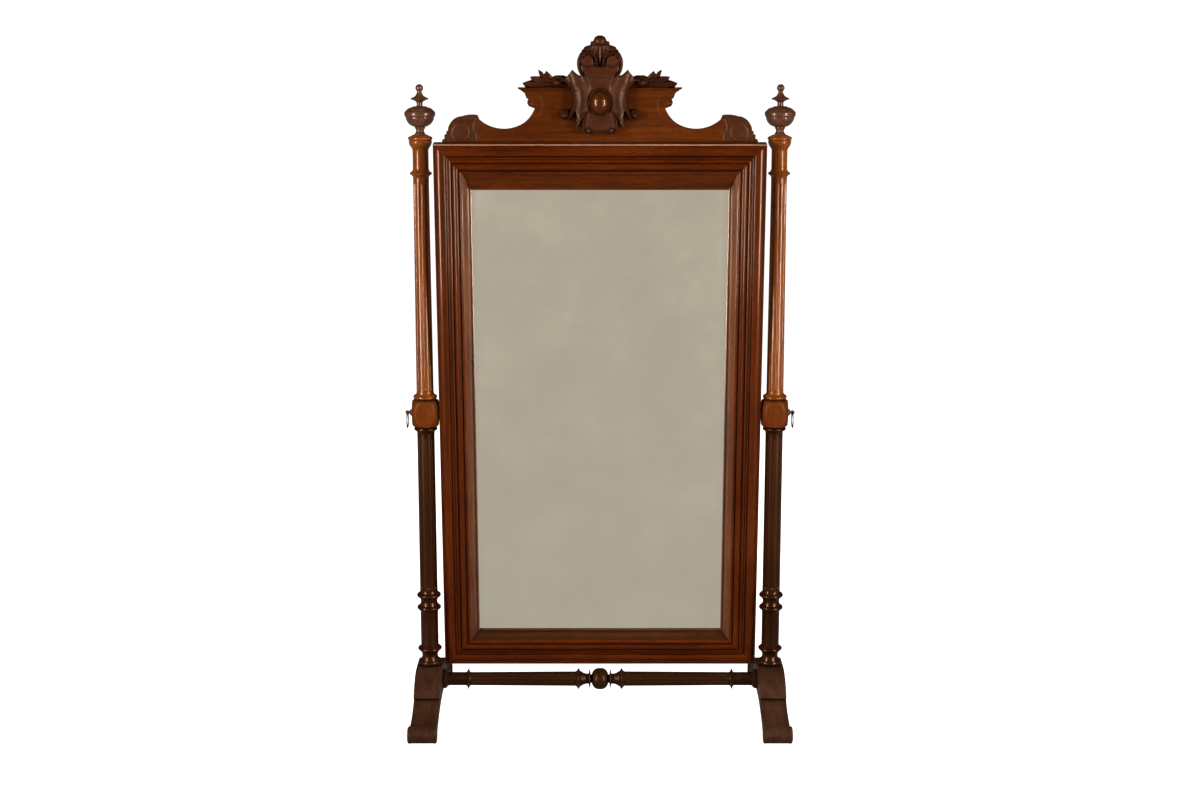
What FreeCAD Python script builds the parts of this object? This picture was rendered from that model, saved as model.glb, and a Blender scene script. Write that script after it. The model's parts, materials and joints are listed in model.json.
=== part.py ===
"""Cheval floor mirror: a tilting, moulded mirror frame with a carved crest, carried between two turned posts.

Millimetres, +Z up, front towards -Y.  The origin is on the floor, midway between the two feet.
The stand is two turned posts with square pivot blocks, two arched feet and a turned stretcher.
The frame hangs on two ring-headed screws that pass through the pivot blocks.
"""
import FreeCAD
import Part
import math
import os

V = FreeCAD.Vector

# ---------------------------------------------------------------- driving dimensions: stand
swing_gap = 2.0             # the frame's bottom clears the stretcher by at least this as it swings
rest_tilt = 4.1             # degrees that the frame's top leans forward as it stands
side_gap = 3.5              # between the frame's side and the pivot block
block_width = 77.0          # pivot block, square in plan
block_height = 80.0
block_corner_turn = 11.5    # how far the swell that turns the corners away stands outside the block's faces
block_end_drop = 2.5        # how far inside the faces the swell ends, above and below

shaft_top_radius = 22.8     # turned shaft under the capital
shaft_block_top_radius = 25.2
shaft_block_low_radius = 25.7
shaft_foot_radius = 26.4
bead_radius = 35.5          # the beads and rings turned on the post
post_tenon_radius = 15.0
post_tenon_length = 30.0
capital_rise = 20.0         # capital's top above the frame's top
neck_ring_drop = 111.0      # sharp ring below the capital's top
double_ring_rise = 198.0    # waist between the two lower rings, above the foot's flat
low_ring_rise = 50.5        # lowest ring above the foot's flat
flute_count = 8
flute_radius = 4.6
flute_depth = 2.6

finial_spigot_radius = 8.0
finial_spigot_length = 28.0
bowl_radius = 44.0
finial_height = 141.0

platform_z = 143.0          # flat of the foot that the post stands on
foot_width = 74.0
toe_width = 80.0
foot_half_length = 303.0
toe_radius = 21.5
shoulder_y = 41.0           # half length of the foot's flat
step_y = 136.0              # small step halfway down the foot's back
step_drop = 55.0            # top of the step below the foot's flat
step_height = 8.0
arch_half_span = 236.0
foot_waist = 85.0           # wood between the flat and the top of the arch

stretcher_shaft_radius = 21.8
stretcher_end_radius = 20.0
stretcher_bead_radius = 31.5
stretcher_tenon_radius = 13.0
stretcher_tenon_length = 28.0
tenon_wall = 5.5            # wood between the post's tenon and the stretcher's
peg_radius = 4.0
bolt_radius = 3.0
bolt_head_radius = 7.5
bolt_head_height = 5.0
bolt_reach = 24.0           # how far the bolt runs up into the post's tenon

# ---------------------------------------------------------------- driving dimensions: frame
frame_half_width = 471.0
frame_top = 790.0           # above the pivot axis, along the frame
frame_bottom = -789.0
frame_back = -26.0          # depth of the frame's back behind the axis
moulding_width = 82.0       # outer edge to sight edge
lip_width = 18.0            # of the lip in front of the glass rebate
back_board_lap = 24.0       # how far the back boards lap onto the frame
lip_back = 10.0             # depth of the lip's back face, where the slips seat
slip_back = 2.0             # depth of the slips' back face, where the glass seats
slip_front = 36.0
slip_side_width = 24.0      # sight edge to glass, left and right
slip_top_width = 50.0
slip_bottom_width = 24.0
slip_edge = 5.0             # thickness of the slip where it meets the glass
glass_thickness = 6.0
glass_edge_gap = 3.0
back_board_thickness = 10.0
block_length = 60.0         # glass blocks glued behind the pane's edge
glass_block_width = 14.0
batten_width = 60.0
batten_thickness = 12.0
screw_head_radius = 4.0
screw_shank_radius = 1.9
key_length = 50.0           # loose tongue across each mitre
key_width = 26.0
key_thickness = 6.0

# ---------------------------------------------------------------- driving dimensions: pivots
pin_radius = 5.0            # shank of the ring-headed screw
running_gap = 0.06          # radial clearance round the screw
bush_wall = 2.5
bush_flange_radius = 13.0
bush_flange_thickness = 2.0
collar_radius = 9.5
collar_thickness = 4.0
eye_offset = 14.5           # eye's centre outside the block's face
eye_radius = 6.5
eye_thickness = 8.0
eye_hole_radius = 2.5
ring_wire_radius = 1.85
ring_radius = 22.65
pin_tip = 16.0              # how far the screw reaches inside the frame's side
washer_radius = 17.0
washer_thickness = 3.0
plate_height = 74.0
plate_depth = 32.0
plate_thickness = 4.0

# ---------------------------------------------------------------- driving dimensions: crest
crest_back = frame_back
crest_thickness = 20.0
crest_half_width = 448.0
crest_cornice_top = 154.0   # heights of the crest are above the frame's top edge
crest_cornice_half = 231.0
crest_neck_half = 184.0
crest_height = 299.0
cartouche_front = 20.0
head_thickness = 14.0       # of the cartouche's head behind the board's front
cabochon_width = 58.0
cabochon_height = 71.0
cabochon_centre = 115.0
cleat_width = 44.0
cleat_height = 116.0
cleat_thickness = 16.0

# ---------------------------------------------------------------- worked out from the values above
post_x = frame_half_width + side_gap + block_width / 2.0
block_face_x = post_x + block_width / 2.0
arch_height = platform_z - foot_waist
step_top_z = platform_z - step_drop
stretcher_z = platform_z - post_tenon_length - tenon_wall - stretcher_tenon_radius
ball_radius = stretcher_bead_radius + 0.5
swing_radius = math.sqrt(frame_bottom ** 2 + frame_back ** 2)
pivot_z = float(round(stretcher_z + ball_radius + swing_gap + swing_radius))
capital_top_z = pivot_z + frame_top + capital_rise
neck_ring_z = capital_top_z - neck_ring_drop
double_ring_z = platform_z + double_ring_rise
low_ring_z = platform_z + low_ring_rise
block_top_z = pivot_z + block_height / 2.0 - 1.0
block_low_z = pivot_z - block_height / 2.0 - 1.0
glass_rebate_w = moulding_width - lip_width
back_rebate_w = glass_rebate_w - back_board_lap
crest_front = crest_back + crest_thickness


# ---------------------------------------------------------------- general shapes
def outline(points):
    """Closed wire through 3-D points; a pair (middle, end) in the list is an arc."""
    start = points[0]
    edges = []
    here = start
    for step in points[1:]:
        if isinstance(step, tuple):
            middle, end = step
            edges.append(Part.Arc(here, middle, end).toShape())
        else:
            end = step
            edges.append(Part.LineSegment(here, end).toShape())
        here = end
    if here.distanceToPoint(start) > 1e-6:
        edges.append(Part.LineSegment(here, start).toShape())
    return Part.Wire(edges)


def placed(points, place):
    """The same outline steps with each 2-D point put into space by place(a, b)."""
    steps = []
    for step in points:
        if len(step) == 2:
            steps.append(place(step[0], step[1]))
        else:
            steps.append((place(step[0], step[1]), place(step[2], step[3])))
    return steps


def extruded(points, place, travel):
    return Part.Face(outline(placed(points, place))).extrude(travel)


def lathed(points, place, centre, axis):
    """Turned solid from a half profile of (radius, height) steps that starts and ends on the axis."""
    face = Part.Face(outline(placed(points, place)))
    return face.revolve(centre, axis, 360)


def turned_upright(points, x):
    return lathed(points, lambda r, z: V(x + r, 0, z), V(x, 0, 0), V(0, 0, 1))


def bead(radius, z, half, foot_radius):
    """Round bead on a turning: in at foot_radius below, out to radius at z, back in above."""
    return [(foot_radius, z - half), (radius, z, foot_radius, z + half)]


def cylinder_x(radius, x0, x1, y, z):
    return Part.makeCylinder(radius, x1 - x0, V(x0, y, z), V(1, 0, 0))


def capsule(radius, start, end):
    """Round-ended cutter for one flute."""
    direction = end - start
    body = Part.makeCylinder(radius, direction.Length, start, direction)
    return body.fuse([Part.makeSphere(radius, start), Part.makeSphere(radius, end)])


def flutes(low, high, low_radius, high_radius, place):
    """Ring of flute cutters along a tapering shaft; place(radius, angle, along) gives a point."""
    cutters = []
    sink = flute_radius - flute_depth
    for i in range(flute_count):
        angle = 2.0 * math.pi * i / flute_count
        start = place(low_radius + sink, angle, low)
        end = place(high_radius + sink, angle, high)
        cutters.append(capsule(flute_radius, start, end))
    return cutters


def wood_screw(tip, head):
    """Countersunk screw from its tip to the flat of its head."""
    direction = head - tip
    length = direction.Length
    sink = screw_head_radius - screw_shank_radius
    shank = Part.makeCylinder(screw_shank_radius, length - sink, tip, direction)
    cone_base = tip + direction * ((length - sink) / length)
    cone = Part.makeCone(screw_shank_radius, screw_head_radius, sink, cone_base, direction)
    return shank.fuse(cone).removeSplitter()


def left_of(shape):
    return shape.mirror(V(0, 0, 0), V(1, 0, 0))


# ---------------------------------------------------------------- stand
def foot():
    """Arched sled foot: flat for the post, shoulder, step, hollow and rolled toe, alike front and back."""
    nose = foot_half_length - toe_radius
    hollow_top = step_top_z - step_height
    front = [
        (-shoulder_y, platform_z),
        (-(shoulder_y + step_y) / 2.0 - 9.0, (platform_z + step_top_z) / 2.0 + 9.0, -step_y, step_top_z),
        (-step_y, hollow_top),
        (-(step_y + nose) / 2.0 - 4.0, (hollow_top + toe_radius) / 2.0 - 6.0, -nose + 6.0, toe_radius + 14.0),
    ]
    back = [(-front[3][2], front[3][3])]
    back.append((-front[3][0], front[3][1], step_y, hollow_top))
    back.append((step_y, step_top_z))
    back.append((-front[1][0], front[1][1], shoulder_y, platform_z))
    under = [(-nose, 0.0), (-arch_half_span, 0.0), (0.0, arch_height, arch_half_span, 0.0), (nose, 0.0)]
    x0 = post_x - foot_width / 2.0
    board = extruded(front + [(-nose, toe_radius)] + under + [(nose, toe_radius)] + back,
                     lambda y, z: V(x0, y, z), V(foot_width, 0, 0))
    toes = []
    for side in (-1, 1):
        toe_x = post_x - toe_width / 2.0
        toes.append(cylinder_x(toe_radius, toe_x, toe_x + toe_width, side * nose, toe_radius))
    shape = board.fuse(toes)
    mortise_base = platform_z - post_tenon_length
    shape = shape.cut(Part.makeCylinder(post_tenon_radius, post_tenon_length + 1.0, V(post_x, 0, mortise_base)))
    stretcher_hole = cylinder_x(stretcher_tenon_radius, x0 - 1.0, x0 + stretcher_tenon_length, 0, stretcher_z)
    shape = shape.cut([stretcher_hole, peg(), bolt()])
    return shape.removeSplitter()


def bolt():
    """Bolt that draws the post down on its foot, with its head in a pocket under the arch."""
    x = post_x
    head = Part.makeCylinder(bolt_head_radius, bolt_head_height, V(x, 0, arch_height))
    top = platform_z - post_tenon_length + bolt_reach
    shank = Part.makeCylinder(bolt_radius, top - arch_height, V(x, 0, arch_height))
    return head.fuse(shank).removeSplitter()


def peg():
    """Dowel that pins the stretcher's tenon in the foot."""
    x = post_x - foot_width / 2.0 + stretcher_tenon_length * 0.45
    length = stretcher_z + stretcher_tenon_radius - arch_height
    return Part.makeCylinder(peg_radius, length, V(x, 0, arch_height))


def pivot_block():
    """Square block between two beads, its corners turned away to a barrel."""
    half = block_width / 2.0
    corner = V(post_x - half, -half, block_low_z)
    box = Part.makeBox(block_width, block_width, block_top_z - block_low_z, corner)
    middle = (block_top_z + block_low_z) / 2.0
    end = half - block_end_drop
    barrel = turned_upright([
        (0, block_low_z), (end, block_low_z),
        (half + block_corner_turn, middle, end, block_top_z), (0, block_top_z)], post_x)
    return box.common(barrel)


def post():
    """Post turned from one length: tenon, base, rings, lower shaft, block, upper shaft, capital."""
    waist = shaft_foot_radius - 2.0
    low = [(0, platform_z - post_tenon_length), (post_tenon_radius, platform_z - post_tenon_length)]
    low += [(post_tenon_radius, platform_z)]
    low += bead(bead_radius, platform_z + 8.0, 8.0, 31.0)
    low += [(waist, platform_z + 21.0), (waist + 2.0, low_ring_z - 11.0), (waist + 3.0, low_ring_z - 7.0)]
    low += bead(bead_radius, low_ring_z, 5.0, 30.0)
    low += [(shaft_foot_radius, low_ring_z + 13.0), (shaft_foot_radius, double_ring_z - 31.0)]
    low += bead(bead_radius, double_ring_z - 19.0, 7.0, 30.0)
    low += [(waist, double_ring_z)]
    low += bead(bead_radius, double_ring_z + 19.0, 7.0, 30.0)
    low += [(shaft_foot_radius, double_ring_z + 32.0), (shaft_block_low_radius, block_low_z - 21.0)]
    low += bead(bead_radius - 1.0, block_low_z - 7.0, 6.0, 29.0)
    low += [(29.0, block_low_z), (0, block_low_z)]
    lower = turned_upright(low, post_x)
    cup_z = capital_top_z - 18.0
    high = [(0, block_top_z), (29.0, block_top_z), (29.0, block_top_z + 2.0)]
    high += bead(bead_radius, block_top_z + 9.0, 6.0, 30.0)
    high += [(shaft_block_top_radius, block_top_z + 20.0), (shaft_top_radius, neck_ring_z - 10.0)]
    high += [(32.3, neck_ring_z - 2.0), (32.3, neck_ring_z + 2.0), (shaft_top_radius, neck_ring_z + 10.0)]
    high += [(shaft_top_radius, cup_z - 25.0), (30.0, cup_z - 15.0, 33.5, cup_z)]
    high += bead(bead_radius - 0.5, capital_top_z - 11.0, 5.0, 31.5)
    high += [(24.0, capital_top_z - 3.0), (20.0, capital_top_z), (finial_spigot_radius, capital_top_z)]
    socket_z = capital_top_z - finial_spigot_length
    high += [(finial_spigot_radius, socket_z), (0, socket_z)]
    upper = turned_upright(high, post_x)

    def around(radius, angle, z):
        return V(post_x + radius * math.sin(angle), -radius * math.cos(angle), z)

    low_flutes = flutes(double_ring_z + 46.0, block_low_z - 34.0,
                        shaft_foot_radius, shaft_block_low_radius, around)
    high_flutes = flutes(block_top_z + 34.0, neck_ring_z - 31.0,
                         shaft_block_top_radius, shaft_top_radius, around)
    shape = lower.cut(low_flutes).fuse([pivot_block(), upper.cut(high_flutes)])
    bore_radius = pin_radius + running_gap + bush_wall
    bore = cylinder_x(bore_radius, post_x - block_width, post_x + block_width, 0, pivot_z)
    return shape.cut([bore, bolt()]).removeSplitter()


def finial():
    """Turned urn with a lid, a thin disc and a ball, on a spigot that plugs into the capital."""
    z = capital_top_z
    top = z + finial_height
    neck = 6.0
    ball = 10.8
    ball_foot = top - ball - math.sqrt(ball ** 2 - neck ** 2)
    profile = [(0, z - finial_spigot_length), (finial_spigot_radius, z - finial_spigot_length)]
    profile += [(finial_spigot_radius, z), (15.0, z), (11.4, z + 5.0), (11.4, z + 16.0), (14.7, z + 19.0)]
    profile += [(33.0, z + 30.0, bowl_radius - 2.0, z + 50.0), (bowl_radius, z + 53.0), (bowl_radius, z + 63.0)]
    profile += [(bowl_radius - 3.0, z + 66.0), (33.0, z + 73.0, 20.5, z + 76.0), (20.5, z + 78.0)]
    profile += [(8.5, z + 79.0), (8.5, z + 90.0), (13.0, z + 94.0), (25.5, z + 99.0), (25.5, z + 101.0)]
    profile += [(12.0, z + 108.0), (neck, ball_foot), (ball, top - ball, 0, top)]
    return turned_upright(profile, post_x)


def stretcher():
    """Rail turned between the feet: a ball in the middle, discs, rings and a fluted swell each side."""
    inner = post_x - foot_width / 2.0
    ball = ball_radius
    half = [(0, 0), (ball, 0), (ball * 0.8, 17.0, 13.0, 25.5), (13.0, 28.0), (28.0, 29.5), (28.0, 32.5)]
    half += [(15.0, 35.0), (20.0, 54.0), (24.0, 58.0)]
    half += [(stretcher_bead_radius, 63.0), (stretcher_bead_radius, 67.0)]
    half += [(24.0, 71.0), (stretcher_shaft_radius, 74.0), (stretcher_end_radius, inner - 85.0)]
    half += [(24.0, inner - 81.0), (stretcher_bead_radius - 0.5, inner - 79.0)]
    half += [(stretcher_bead_radius - 0.5, inner - 77.0), (24.0, inner - 75.0)]
    half += [(stretcher_end_radius, inner - 71.0)]
    half += [(stretcher_end_radius, inner - 17.0), (29.0, inner - 10.0), (29.0, inner)]
    half += [(stretcher_tenon_radius, inner), (stretcher_tenon_radius, inner + stretcher_tenon_length)]
    half += [(0, inner + stretcher_tenon_length)]
    right = lathed(half, lambda r, x: V(x, 0, stretcher_z + r), V(0, 0, stretcher_z), V(1, 0, 0))

    def around(radius, angle, x):
        return V(x, -radius * math.cos(angle), stretcher_z + radius * math.sin(angle))

    right = right.cut(flutes(86.0, inner - 98.0, stretcher_shaft_radius, stretcher_end_radius, around))
    whole = right.fuse(left_of(right))
    return whole.cut([peg(), left_of(peg())]).removeSplitter()


# ---------------------------------------------------------------- pivots
def bush():
    """Flanged iron bush that lines the block for the screw."""
    outer = pin_radius + running_gap + bush_wall
    x0 = post_x - block_width / 2.0
    sleeve = cylinder_x(outer, x0, block_face_x, 0, pivot_z)
    flange = cylinder_x(bush_flange_radius, block_face_x, block_face_x + bush_flange_thickness, 0, pivot_z)
    hole = cylinder_x(pin_radius + running_gap, x0 - 1.0, block_face_x + 10.0, 0, pivot_z)
    return sleeve.fuse(flange).cut(hole).removeSplitter()


def washer():
    """Leather washer on the block's inner face."""
    x1 = post_x - block_width / 2.0
    disc = cylinder_x(washer_radius, x1 - washer_thickness, x1, 0, pivot_z)
    return disc.cut(cylinder_x(pin_radius + running_gap, x1 - 10.0, x1 + 10.0, 0, pivot_z))


def pivot_screw():
    """Ring-headed screw: shank through block and frame plate, collar, and a flat-sided eye."""
    tip = frame_half_width - pin_tip
    collar_x = block_face_x + bush_flange_thickness + 0.1
    eye_x = block_face_x + eye_offset
    shank = cylinder_x(pin_radius, tip, eye_x - eye_radius + 2.5, 0, pivot_z)
    collar = cylinder_x(collar_radius, collar_x, collar_x + collar_thickness, 0, pivot_z)
    ball = Part.makeSphere(eye_radius, V(eye_x, 0, pivot_z))
    slab = Part.makeBox(80.0, eye_thickness, 40.0, V(eye_x - 60.0, -eye_thickness / 2.0, pivot_z - 20.0))
    shape = shank.fuse([collar, ball.common(slab)])
    hole = Part.makeCylinder(eye_hole_radius, 40.0, V(eye_x, -20.0, pivot_z), V(0, 1, 0))
    return shape.cut(hole).removeSplitter()


def pull_ring():
    """Wire ring that hangs through the eye."""
    eye_x = block_face_x + eye_offset
    return Part.makeTorus(ring_radius, ring_wire_radius, V(eye_x, 0, pivot_z - ring_radius), V(1, 0, 0))


# ---------------------------------------------------------------- frame, built upright about the pivot axis
def hung(shape):
    """Carry a piece from the frame's own upright axes to its place on the pivots."""
    moved = shape.copy()
    moved.rotate(V(0, 0, 0), V(1, 0, 0), rest_tilt)
    moved.translate(V(0, 0, pivot_z))
    return moved


def moulding():
    """Section of the frame's moulding as (distance in from the outer edge, depth forward)."""
    band = moulding_width - 48.0
    return [
        (0, frame_back), (0, 24.0), (2.5, 26.0), (6.0, 26.5), (band * 0.6, 31.0, band - 0.5, 28.5),
        (band, 24.0), (band + 2.0, 24.0), (band + 2.5, 29.0), (band + 5.0, 31.5, band + 7.5, 29.0),
        (band + 8.0, 31.0), (band + 16.0, 35.0), (band + 16.5, 31.0),
        (band + 19.0, 31.0), (band + 19.5, 35.5),
        (band + 29.0, 43.0, band + 36.5, 40.0), (band + 37.0, 35.5), (band + 39.5, 35.5),
        (band + 40.0, 39.0), (band + 44.0, 43.0, moulding_width, 39.0), (moulding_width, lip_back),
        (glass_rebate_w, lip_back), (glass_rebate_w, frame_back + back_board_thickness),
        (back_rebate_w, frame_back + back_board_thickness), (back_rebate_w, frame_back)]


def mitre_prism(outer, inner, side):
    """Wedge of the frame's plan between two rectangles, for one side: left, right, top or bottom."""
    ox, otop, obottom = outer
    ix, itop, ibottom = inner
    corners = {
        "right": [(ox, otop), (ix, itop), (ix, ibottom), (ox, obottom)],
        "left": [(-ox, otop), (-ix, itop), (-ix, ibottom), (-ox, obottom)],
        "top": [(-ox, otop), (ox, otop), (ix, itop), (-ix, itop)],
        "bottom": [(-ox, obottom), (ox, obottom), (ix, ibottom), (-ix, ibottom)],
    }[side]
    return extruded(corners, lambda x, z: V(x, -80.0, z), V(0, 160.0, 0))


def member(section, side, outer, inner):
    """One mitred side of a moulded frame; section runs inward from the frame's outer edge."""
    long_way = 2.0 * (frame_half_width + frame_top)
    if side == "right":
        bar = extruded(section, lambda w, n: V(frame_half_width - w, -n, -long_way / 2.0), V(0, 0, long_way))
    elif side == "left":
        bar = extruded(section, lambda w, n: V(w - frame_half_width, -n, -long_way / 2.0), V(0, 0, long_way))
    elif side == "top":
        bar = extruded(section, lambda w, n: V(-long_way / 2.0, -n, frame_top - w), V(long_way, 0, 0))
    else:
        bar = extruded(section, lambda w, n: V(-long_way / 2.0, -n, frame_bottom + w), V(long_way, 0, 0))
    return bar.common(mitre_prism(outer, inner, side))


def inset(distance):
    """Half width, top and bottom of the rectangle that lies this far in from the frame's outer edge."""
    return (frame_half_width - distance, frame_top - distance, frame_bottom + distance)


def mitre_keys():
    """Four loose tongues, one across each mitre, buried in the wood."""
    keys = []
    middle = glass_rebate_w / 2.0
    corner = V(-key_length / 2.0, -key_thickness / 2.0, -key_width / 2.0)
    for x_sign in (1, -1):
        for z_edge, z_sign in ((frame_top, 1), (frame_bottom, -1)):
            key = Part.makeBox(key_length, key_thickness, key_width, corner)
            key.rotate(V(0, 0, 0), V(0, 1, 0), 45.0 * x_sign * z_sign)
            key.translate(V(x_sign * (frame_half_width - middle), 0, z_edge - z_sign * middle))
            keys.append(key)
    return keys


def frame_sides():
    """The two stiles and two rails, mitred and keyed, the stiles let in for the pivot plates."""
    keys = mitre_keys()
    sides = {}
    for side in ("left", "right", "top", "bottom"):
        sides[side] = member(moulding(), side, inset(0.0), inset(moulding_width)).cut(keys)
    plate = pivot_plate_blank()
    tip_room = cylinder_x(pin_radius + 1.5, frame_half_width - pin_tip - 2.0, frame_half_width, 0, 0)
    let_in = [plate, tip_room] + plate_screws()
    sides["right"] = sides["right"].cut(let_in)
    sides["left"] = sides["left"].cut([left_of(piece) for piece in let_in])
    return sides


def slips():
    """Inner strips: a flat tongue under the frame's lip, and a face that slopes back to the glass."""
    sight = inset(moulding_width)
    opening = (frame_half_width - moulding_width - slip_side_width,
               frame_top - moulding_width - slip_top_width,
               frame_bottom + moulding_width + slip_bottom_width)
    tongue = [(glass_rebate_w, slip_back), (glass_rebate_w, lip_back),
              (moulding_width, lip_back), (moulding_width, slip_back)]
    widths = {"left": slip_side_width, "right": slip_side_width,
              "top": slip_top_width, "bottom": slip_bottom_width}
    pieces = {}
    for side, width in widths.items():
        inner = moulding_width + width
        slope = [(moulding_width, slip_back), (moulding_width, slip_front),
                 (inner, slip_back + slip_edge), (inner, slip_back)]
        face = member(slope, side, sight, opening)
        pieces[side] = face.fuse(member(tongue, side, inset(glass_rebate_w), sight)).removeSplitter()
    return pieces


def glass():
    """Silvered pane behind the slips, with expansion room round its edge."""
    half, top, bottom = inset(glass_rebate_w + glass_edge_gap)
    return Part.makeBox(2.0 * half, glass_thickness, top - bottom, V(-half, -slip_back, bottom))


def glass_blocks():
    """Wood blocks glued to the rebate wall, which hold the pane against the slips."""
    half, top, bottom = inset(glass_rebate_w)
    y0 = glass_thickness - slip_back
    depth = -frame_back - back_board_thickness - y0
    blocks = []
    for share in (0.12, 0.37, 0.63, 0.88):
        z = bottom + (top - bottom) * share - block_length / 2.0
        upright = Part.makeBox(glass_block_width, depth, block_length, V(half - glass_block_width, y0, z))
        blocks += [upright, left_of(upright)]
    for x in (-half / 2.0, half / 2.0):
        for z in (bottom, top - glass_block_width):
            corner = V(x - block_length / 2.0, y0, z)
            blocks.append(Part.makeBox(block_length, depth, glass_block_width, corner))
    return blocks


def back_boards():
    """Two thin boards that close the back, meeting under a batten at mid height."""
    half, top, bottom = inset(back_rebate_w)
    y0 = -frame_back - back_board_thickness
    middle = (top + bottom) / 2.0
    upper = Part.makeBox(2.0 * half, back_board_thickness, top - middle, V(-half, y0, middle))
    lower = Part.makeBox(2.0 * half, back_board_thickness, middle - bottom, V(-half, y0, bottom))
    screws = back_screws() + batten_screws()
    return upper.cut(screws), lower.cut(screws)


def back_batten():
    """Batten inside the back boards, across their joint."""
    half, top, bottom = inset(glass_rebate_w)
    y0 = -frame_back - back_board_thickness - batten_thickness
    middle = (top + bottom) / 2.0
    bar = Part.makeBox(2.0 * half, batten_thickness, batten_width, V(-half, y0, middle - batten_width / 2.0))
    return bar.cut(batten_screws())


def back_screws():
    """Screws round the edge of the back boards, into the frame."""
    half, top, bottom = inset((back_rebate_w + glass_rebate_w) / 2.0)
    y_head = -frame_back
    y_tip = y_head - back_board_thickness - 14.0
    screws = []
    for share in (0.04, 0.27, 0.46, 0.54, 0.73, 0.96):
        z = bottom + (top - bottom) * share
        screw = wood_screw(V(half, y_tip, z), V(half, y_head, z))
        screws += [screw, left_of(screw)]
    for x in (-half / 2.0, 0.0, half / 2.0):
        for z in (bottom, top):
            screws.append(wood_screw(V(x, y_tip, z), V(x, y_head, z)))
    return screws


def batten_screws():
    """Screws through both boards into the batten."""
    half, top, bottom = inset(back_rebate_w)
    middle = (top + bottom) / 2.0
    y_head = -frame_back
    screws = []
    for x in (-half * 0.6, 0.0, half * 0.6):
        for z in (middle - batten_width / 4.0, middle + batten_width / 4.0):
            screws.append(wood_screw(V(x, y_head - back_board_thickness - 8.0, z), V(x, y_head, z)))
    return screws


def pivot_plate_blank():
    return Part.makeBox(plate_thickness, plate_depth, plate_height,
                        V(frame_half_width - plate_thickness, -plate_depth / 2.0, -plate_height / 2.0))


def pivot_plate():
    """Iron plate let into the stile's side, threaded for the ring-headed screw."""
    hole = cylinder_x(pin_radius + running_gap, frame_half_width - 10.0, frame_half_width + 10.0, 0, 0)
    return pivot_plate_blank().cut([hole] + plate_screws())


def plate_screws():
    screws = []
    for z in (-plate_height * 0.36, plate_height * 0.36):
        screws.append(wood_screw(V(frame_half_width - 26.0, 0, z), V(frame_half_width, 0, z)))
    return screws


# ---------------------------------------------------------------- crest
def crest_place(x, h):
    """A point of the crest's outline: across, and height above the frame's top edge."""
    return V(x, -crest_front, frame_top + h)


def crest_ear():
    """Outline of the board's right half from its base to the cornice: ear, hollow, neck."""
    end = crest_half_width
    neck = crest_neck_half
    top = crest_cornice_top
    return [
        (end, 0.0), (end - 8.0, 27.0), (end - 15.0, 31.0),
        (end - 27.0, 62.0, end - 57.0, 76.0), (end - 80.0, 80.0, end - 102.0, 79.0), (end - 107.0, 66.0),
        (neck + 100.0, 41.0, neck + 28.0, 59.0), (neck + 12.0, 76.0, neck, top - 57.0),
        (neck + 18.0, top - 53.0, neck + 18.0, top - 42.0),
        (neck + 15.0, top - 32.0, neck + 23.0, top - 28.0),
        (neck + 28.0, top - 14.0)]


def mirrored(points):
    """The same steps on the other side, run the other way."""
    ends = [(p[0], p[1]) if len(p) == 2 else (p[2], p[3]) for p in points]
    steps = [(-ends[-1][0], ends[-1][1])]
    for i in range(len(points) - 1, 0, -1):
        end = (-ends[i - 1][0], ends[i - 1][1])
        if len(points[i]) == 4:
            steps.append((-points[i][0], points[i][1]) + end)
        else:
            steps.append(end)
    return steps


def crest_board():
    """Sawn board that carries the carving and stands on the top rail."""
    right = crest_ear()
    board = extruded(right + mirrored(right), crest_place, V(0, crest_thickness, 0))
    return board.cut(cleat_screws())


def cornice():
    """Small moulded cap on the crest board, from the end of its top to the carved wing."""
    low = crest_cornice_top - 14.0
    depth_back = crest_back
    section = [(depth_back, low), (crest_front, low), (crest_front + 3.0, low + 5.0),
               (crest_front + 9.0, crest_cornice_top - 3.0), (crest_front + 9.0, crest_cornice_top),
               (depth_back, crest_cornice_top)]
    bar = extruded(section, lambda n, h: V(76.0, -n, frame_top + h), V(crest_cornice_half - 76.0, 0, 0))
    slope = [(crest_neck_half + 28.0, low - 1.0), (crest_cornice_half, crest_cornice_top - 3.0),
             (crest_cornice_half + 40.0, low - 1.0)]
    end = extruded(slope, lambda x, h: V(x, -60.0, frame_top + h), V(0, 120.0, 0))
    return bar.cut([end, cartouche()])


def leaf_spray():
    """Carved leaves that lie along the cornice behind the volute."""
    base = crest_cornice_top
    points = [(78.0, base), (216.0, base), (218.0, base + 9.0), (196.0, base + 9.0), (204.0, base + 25.0),
              (180.0, base + 22.0), (177.0, base + 46.0), (160.0, base + 32.0), (146.0, base + 42.0),
              (140.0, base + 26.0), (116.0, base + 30.0), (112.0, base + 36.0), (78.0, base + 36.0)]
    depth = V(0, crest_thickness - 2.0, 0)
    spray = extruded(points, lambda x, h: V(x, -crest_front - 4.0, frame_top + h), depth)
    return spray.cut(cartouche())


def c_scroll():
    """Carved C-scroll that edges the cartouche, rolled into a volute at each end."""
    band = [(122.0, 184.0), (96.0, 181.0, 74.0, 150.0), (59.0, 112.0, 70.0, 82.0), (84.0, 66.0, 100.0, 68.0),
            (108.0, 78.0), (94.0, 78.0, 86.0, 94.0), (77.0, 114.0, 88.0, 146.0), (98.0, 164.0, 112.0, 162.0)]
    depth = 20.0
    shape = extruded(band, lambda x, h: V(x, -crest_front - depth, frame_top + h), V(0, depth, 0))
    rolls = []
    for x, h, radius in ((117.0, 172.0, 13.0), (98.0, 79.0, 13.0)):
        start = V(x, -crest_front - depth - 3.0, frame_top + h)
        rolls.append(Part.makeCylinder(radius, depth + 3.0, start, V(0, 1, 0)))
    return shape.fuse(rolls).removeSplitter().cut([cartouche(), cornice(), leaf_spray()])


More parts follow.
